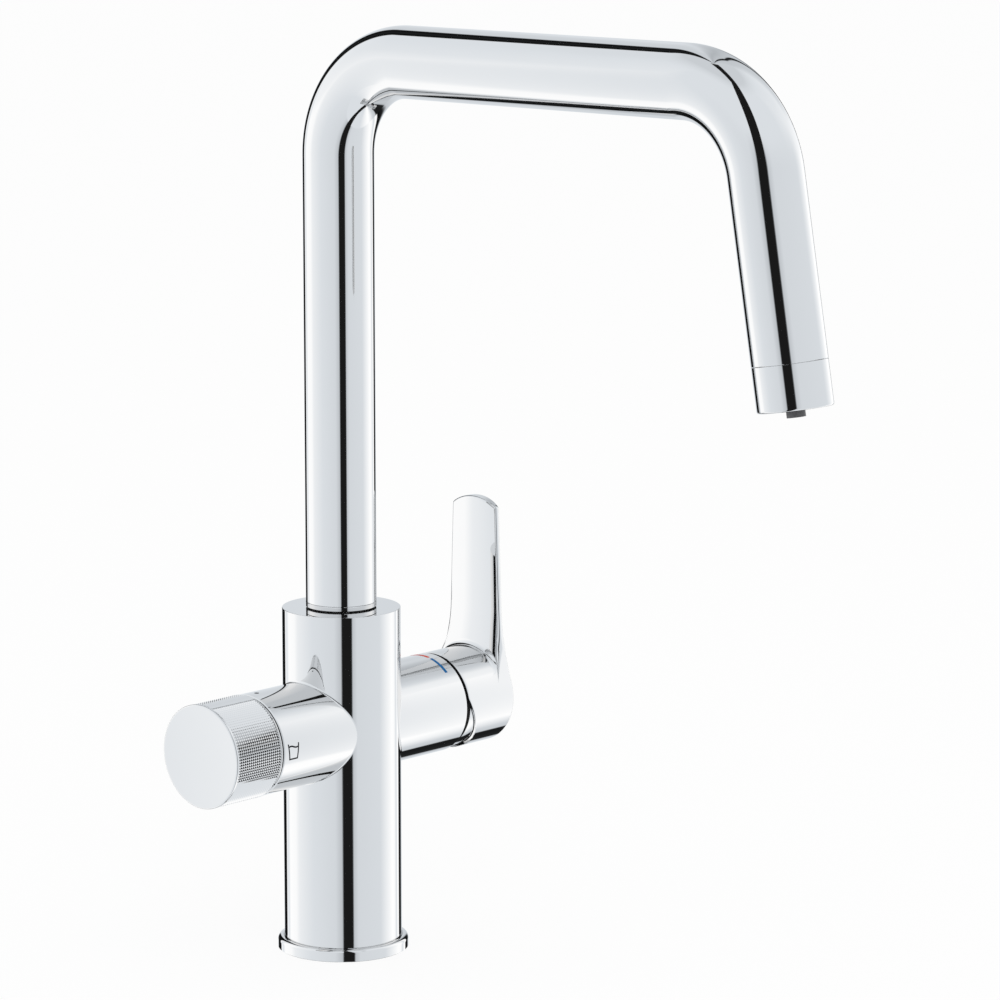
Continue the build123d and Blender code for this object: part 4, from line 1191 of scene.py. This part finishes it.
# painted shade: the hollow inside the lever's hub gets the near-black coat, as shade in the cavity
def leverShadeAt(x, y, z):
    return x < 67 and math.hypot(y, z - leverValues["axis"]) < 19.45


finishPiece(makeLever(leverValues), "mixer_lever", materials["chrome"], ["lever"], leverShadeAt)

print("marks")

markValues = {"radius": 20.15, "proud": 0.04, "arcX": (46.1, 47.5), "half": 14.0, "hot": -3.5, "cold": 28.0}
dotValues = {"x": -47.6, "radius": 0.98, "top": 111.16, "bottom": 111.0}
glassValues = {
    "x": -47.6,
    "z": 91.0,
    "height": 6.4,
    "top": 6.2,
    "foot": 4.8,
    "line": 0.62,
    "waveDown": 1.3,
    "waveRise": 0.35,
    "surface": 20.16,
}


def makeArcMark(name, middle, values):
    r = values["radius"] + values["proud"]
    start, end = values["arcX"]

    def arcPoint(across, along):
        angle = math.radians(90 + middle + (across - 0.5) * 2 * values["half"])
        return start + (end - start) * along, -r * math.cos(math.pi - angle), 91 + r * math.sin(angle)

    mark = wrappedGrid(name, 48, 2, arcPoint)
    applyModifier(mark, "SOLIDIFY", thickness=0.1 * mm, offset=-1)
    smoothPiece(mark)
    return mark


finishPiece(makeArcMark("hotMark", markValues["hot"], markValues), "tap_body",
    materials["red_mark"], ["hot_mark"])
finishPiece(makeArcMark("coldMark", markValues["cold"], markValues), "tap_body",
    materials["blue_mark"], ["cold_mark"])


def makeDot(values):
    top = values["top"]
    r = values["radius"]
    bottom = values["bottom"]
    rings = [(top, 0.002), (top, r - 0.04), (top - 0.04, r), (bottom, r), (bottom, 0.002)]
    return turnedPiece("offMark", rings, 48, (0, 0, 0), (values["x"], 0, 0))


finishPiece(makeDot(dotValues), "tap_body", materials["dark_mark"], ["off_mark"])


def makeStroke(name, spots, values):
    # a thin raised line of the glass drawing, given as points across and up, laid on the neck
    half = values["line"] / 2
    r = values["surface"]
    count = len(spots)
    sides = []
    for number, (across, up) in enumerate(spots):
        before = spots[max(number - 1, 0)]
        after = spots[min(number + 1, count - 1)]
        dx = after[0] - before[0]
        dz = after[1] - before[1]
        length = math.hypot(dx, dz)
        sides.append((-dz / length * half, dx / length * half))

    def strokePoint(across, along):
        number = round(along * (count - 1))
        x = spots[number][0] + sides[number][0] * (2 * across - 1)
        z = spots[number][1] + sides[number][1] * (2 * across - 1)
        return values["x"] + x, -math.sqrt(r ** 2 - z ** 2), values["z"] + z

    stroke = wrappedGrid(name, 2, count - 1, strokePoint)
    applyModifier(stroke, "SOLIDIFY", thickness=0.12 * mm, offset=-1)
    return stroke


def makeGlass(values):
    half = values["line"] / 2
    high = values["height"] / 2 - half
    top = values["top"] / 2 - half
    foot = values["foot"] / 2 - half
    down = values["waveDown"]
    rise = values["waveRise"]
    # the side walls, each made of short steps so that they follow the round of the neck
    steps = 12
    walls = []
    for side in (-1, 1):
        walls.append([(side * (top + (foot - top) * step / steps),
            high + half - (2 * high + half) * step / steps) for step in range(steps + 1)])
    bottom = [(-foot - half + (2 * foot + 2 * half) * step / 4, -high) for step in range(5)]
    waterline = high + half - down
    wave = []
    for step in range(17):
        share = step / 8 - 1
        wave.append((share * top, waterline + rise * math.sin(-math.pi * share)))
    strokes = [makeStroke("glassMark", spots, values) for spots in (*walls, bottom, wave)]
    selectOnly(strokes[0])
    for stroke in strokes[1:]:
        stroke.select_set(True)
    bpy.ops.object.join()
    return strokes[0]


finishPiece(makeGlass(glassValues), "tap_body", materials["dark_mark"], ["glass_mark"])
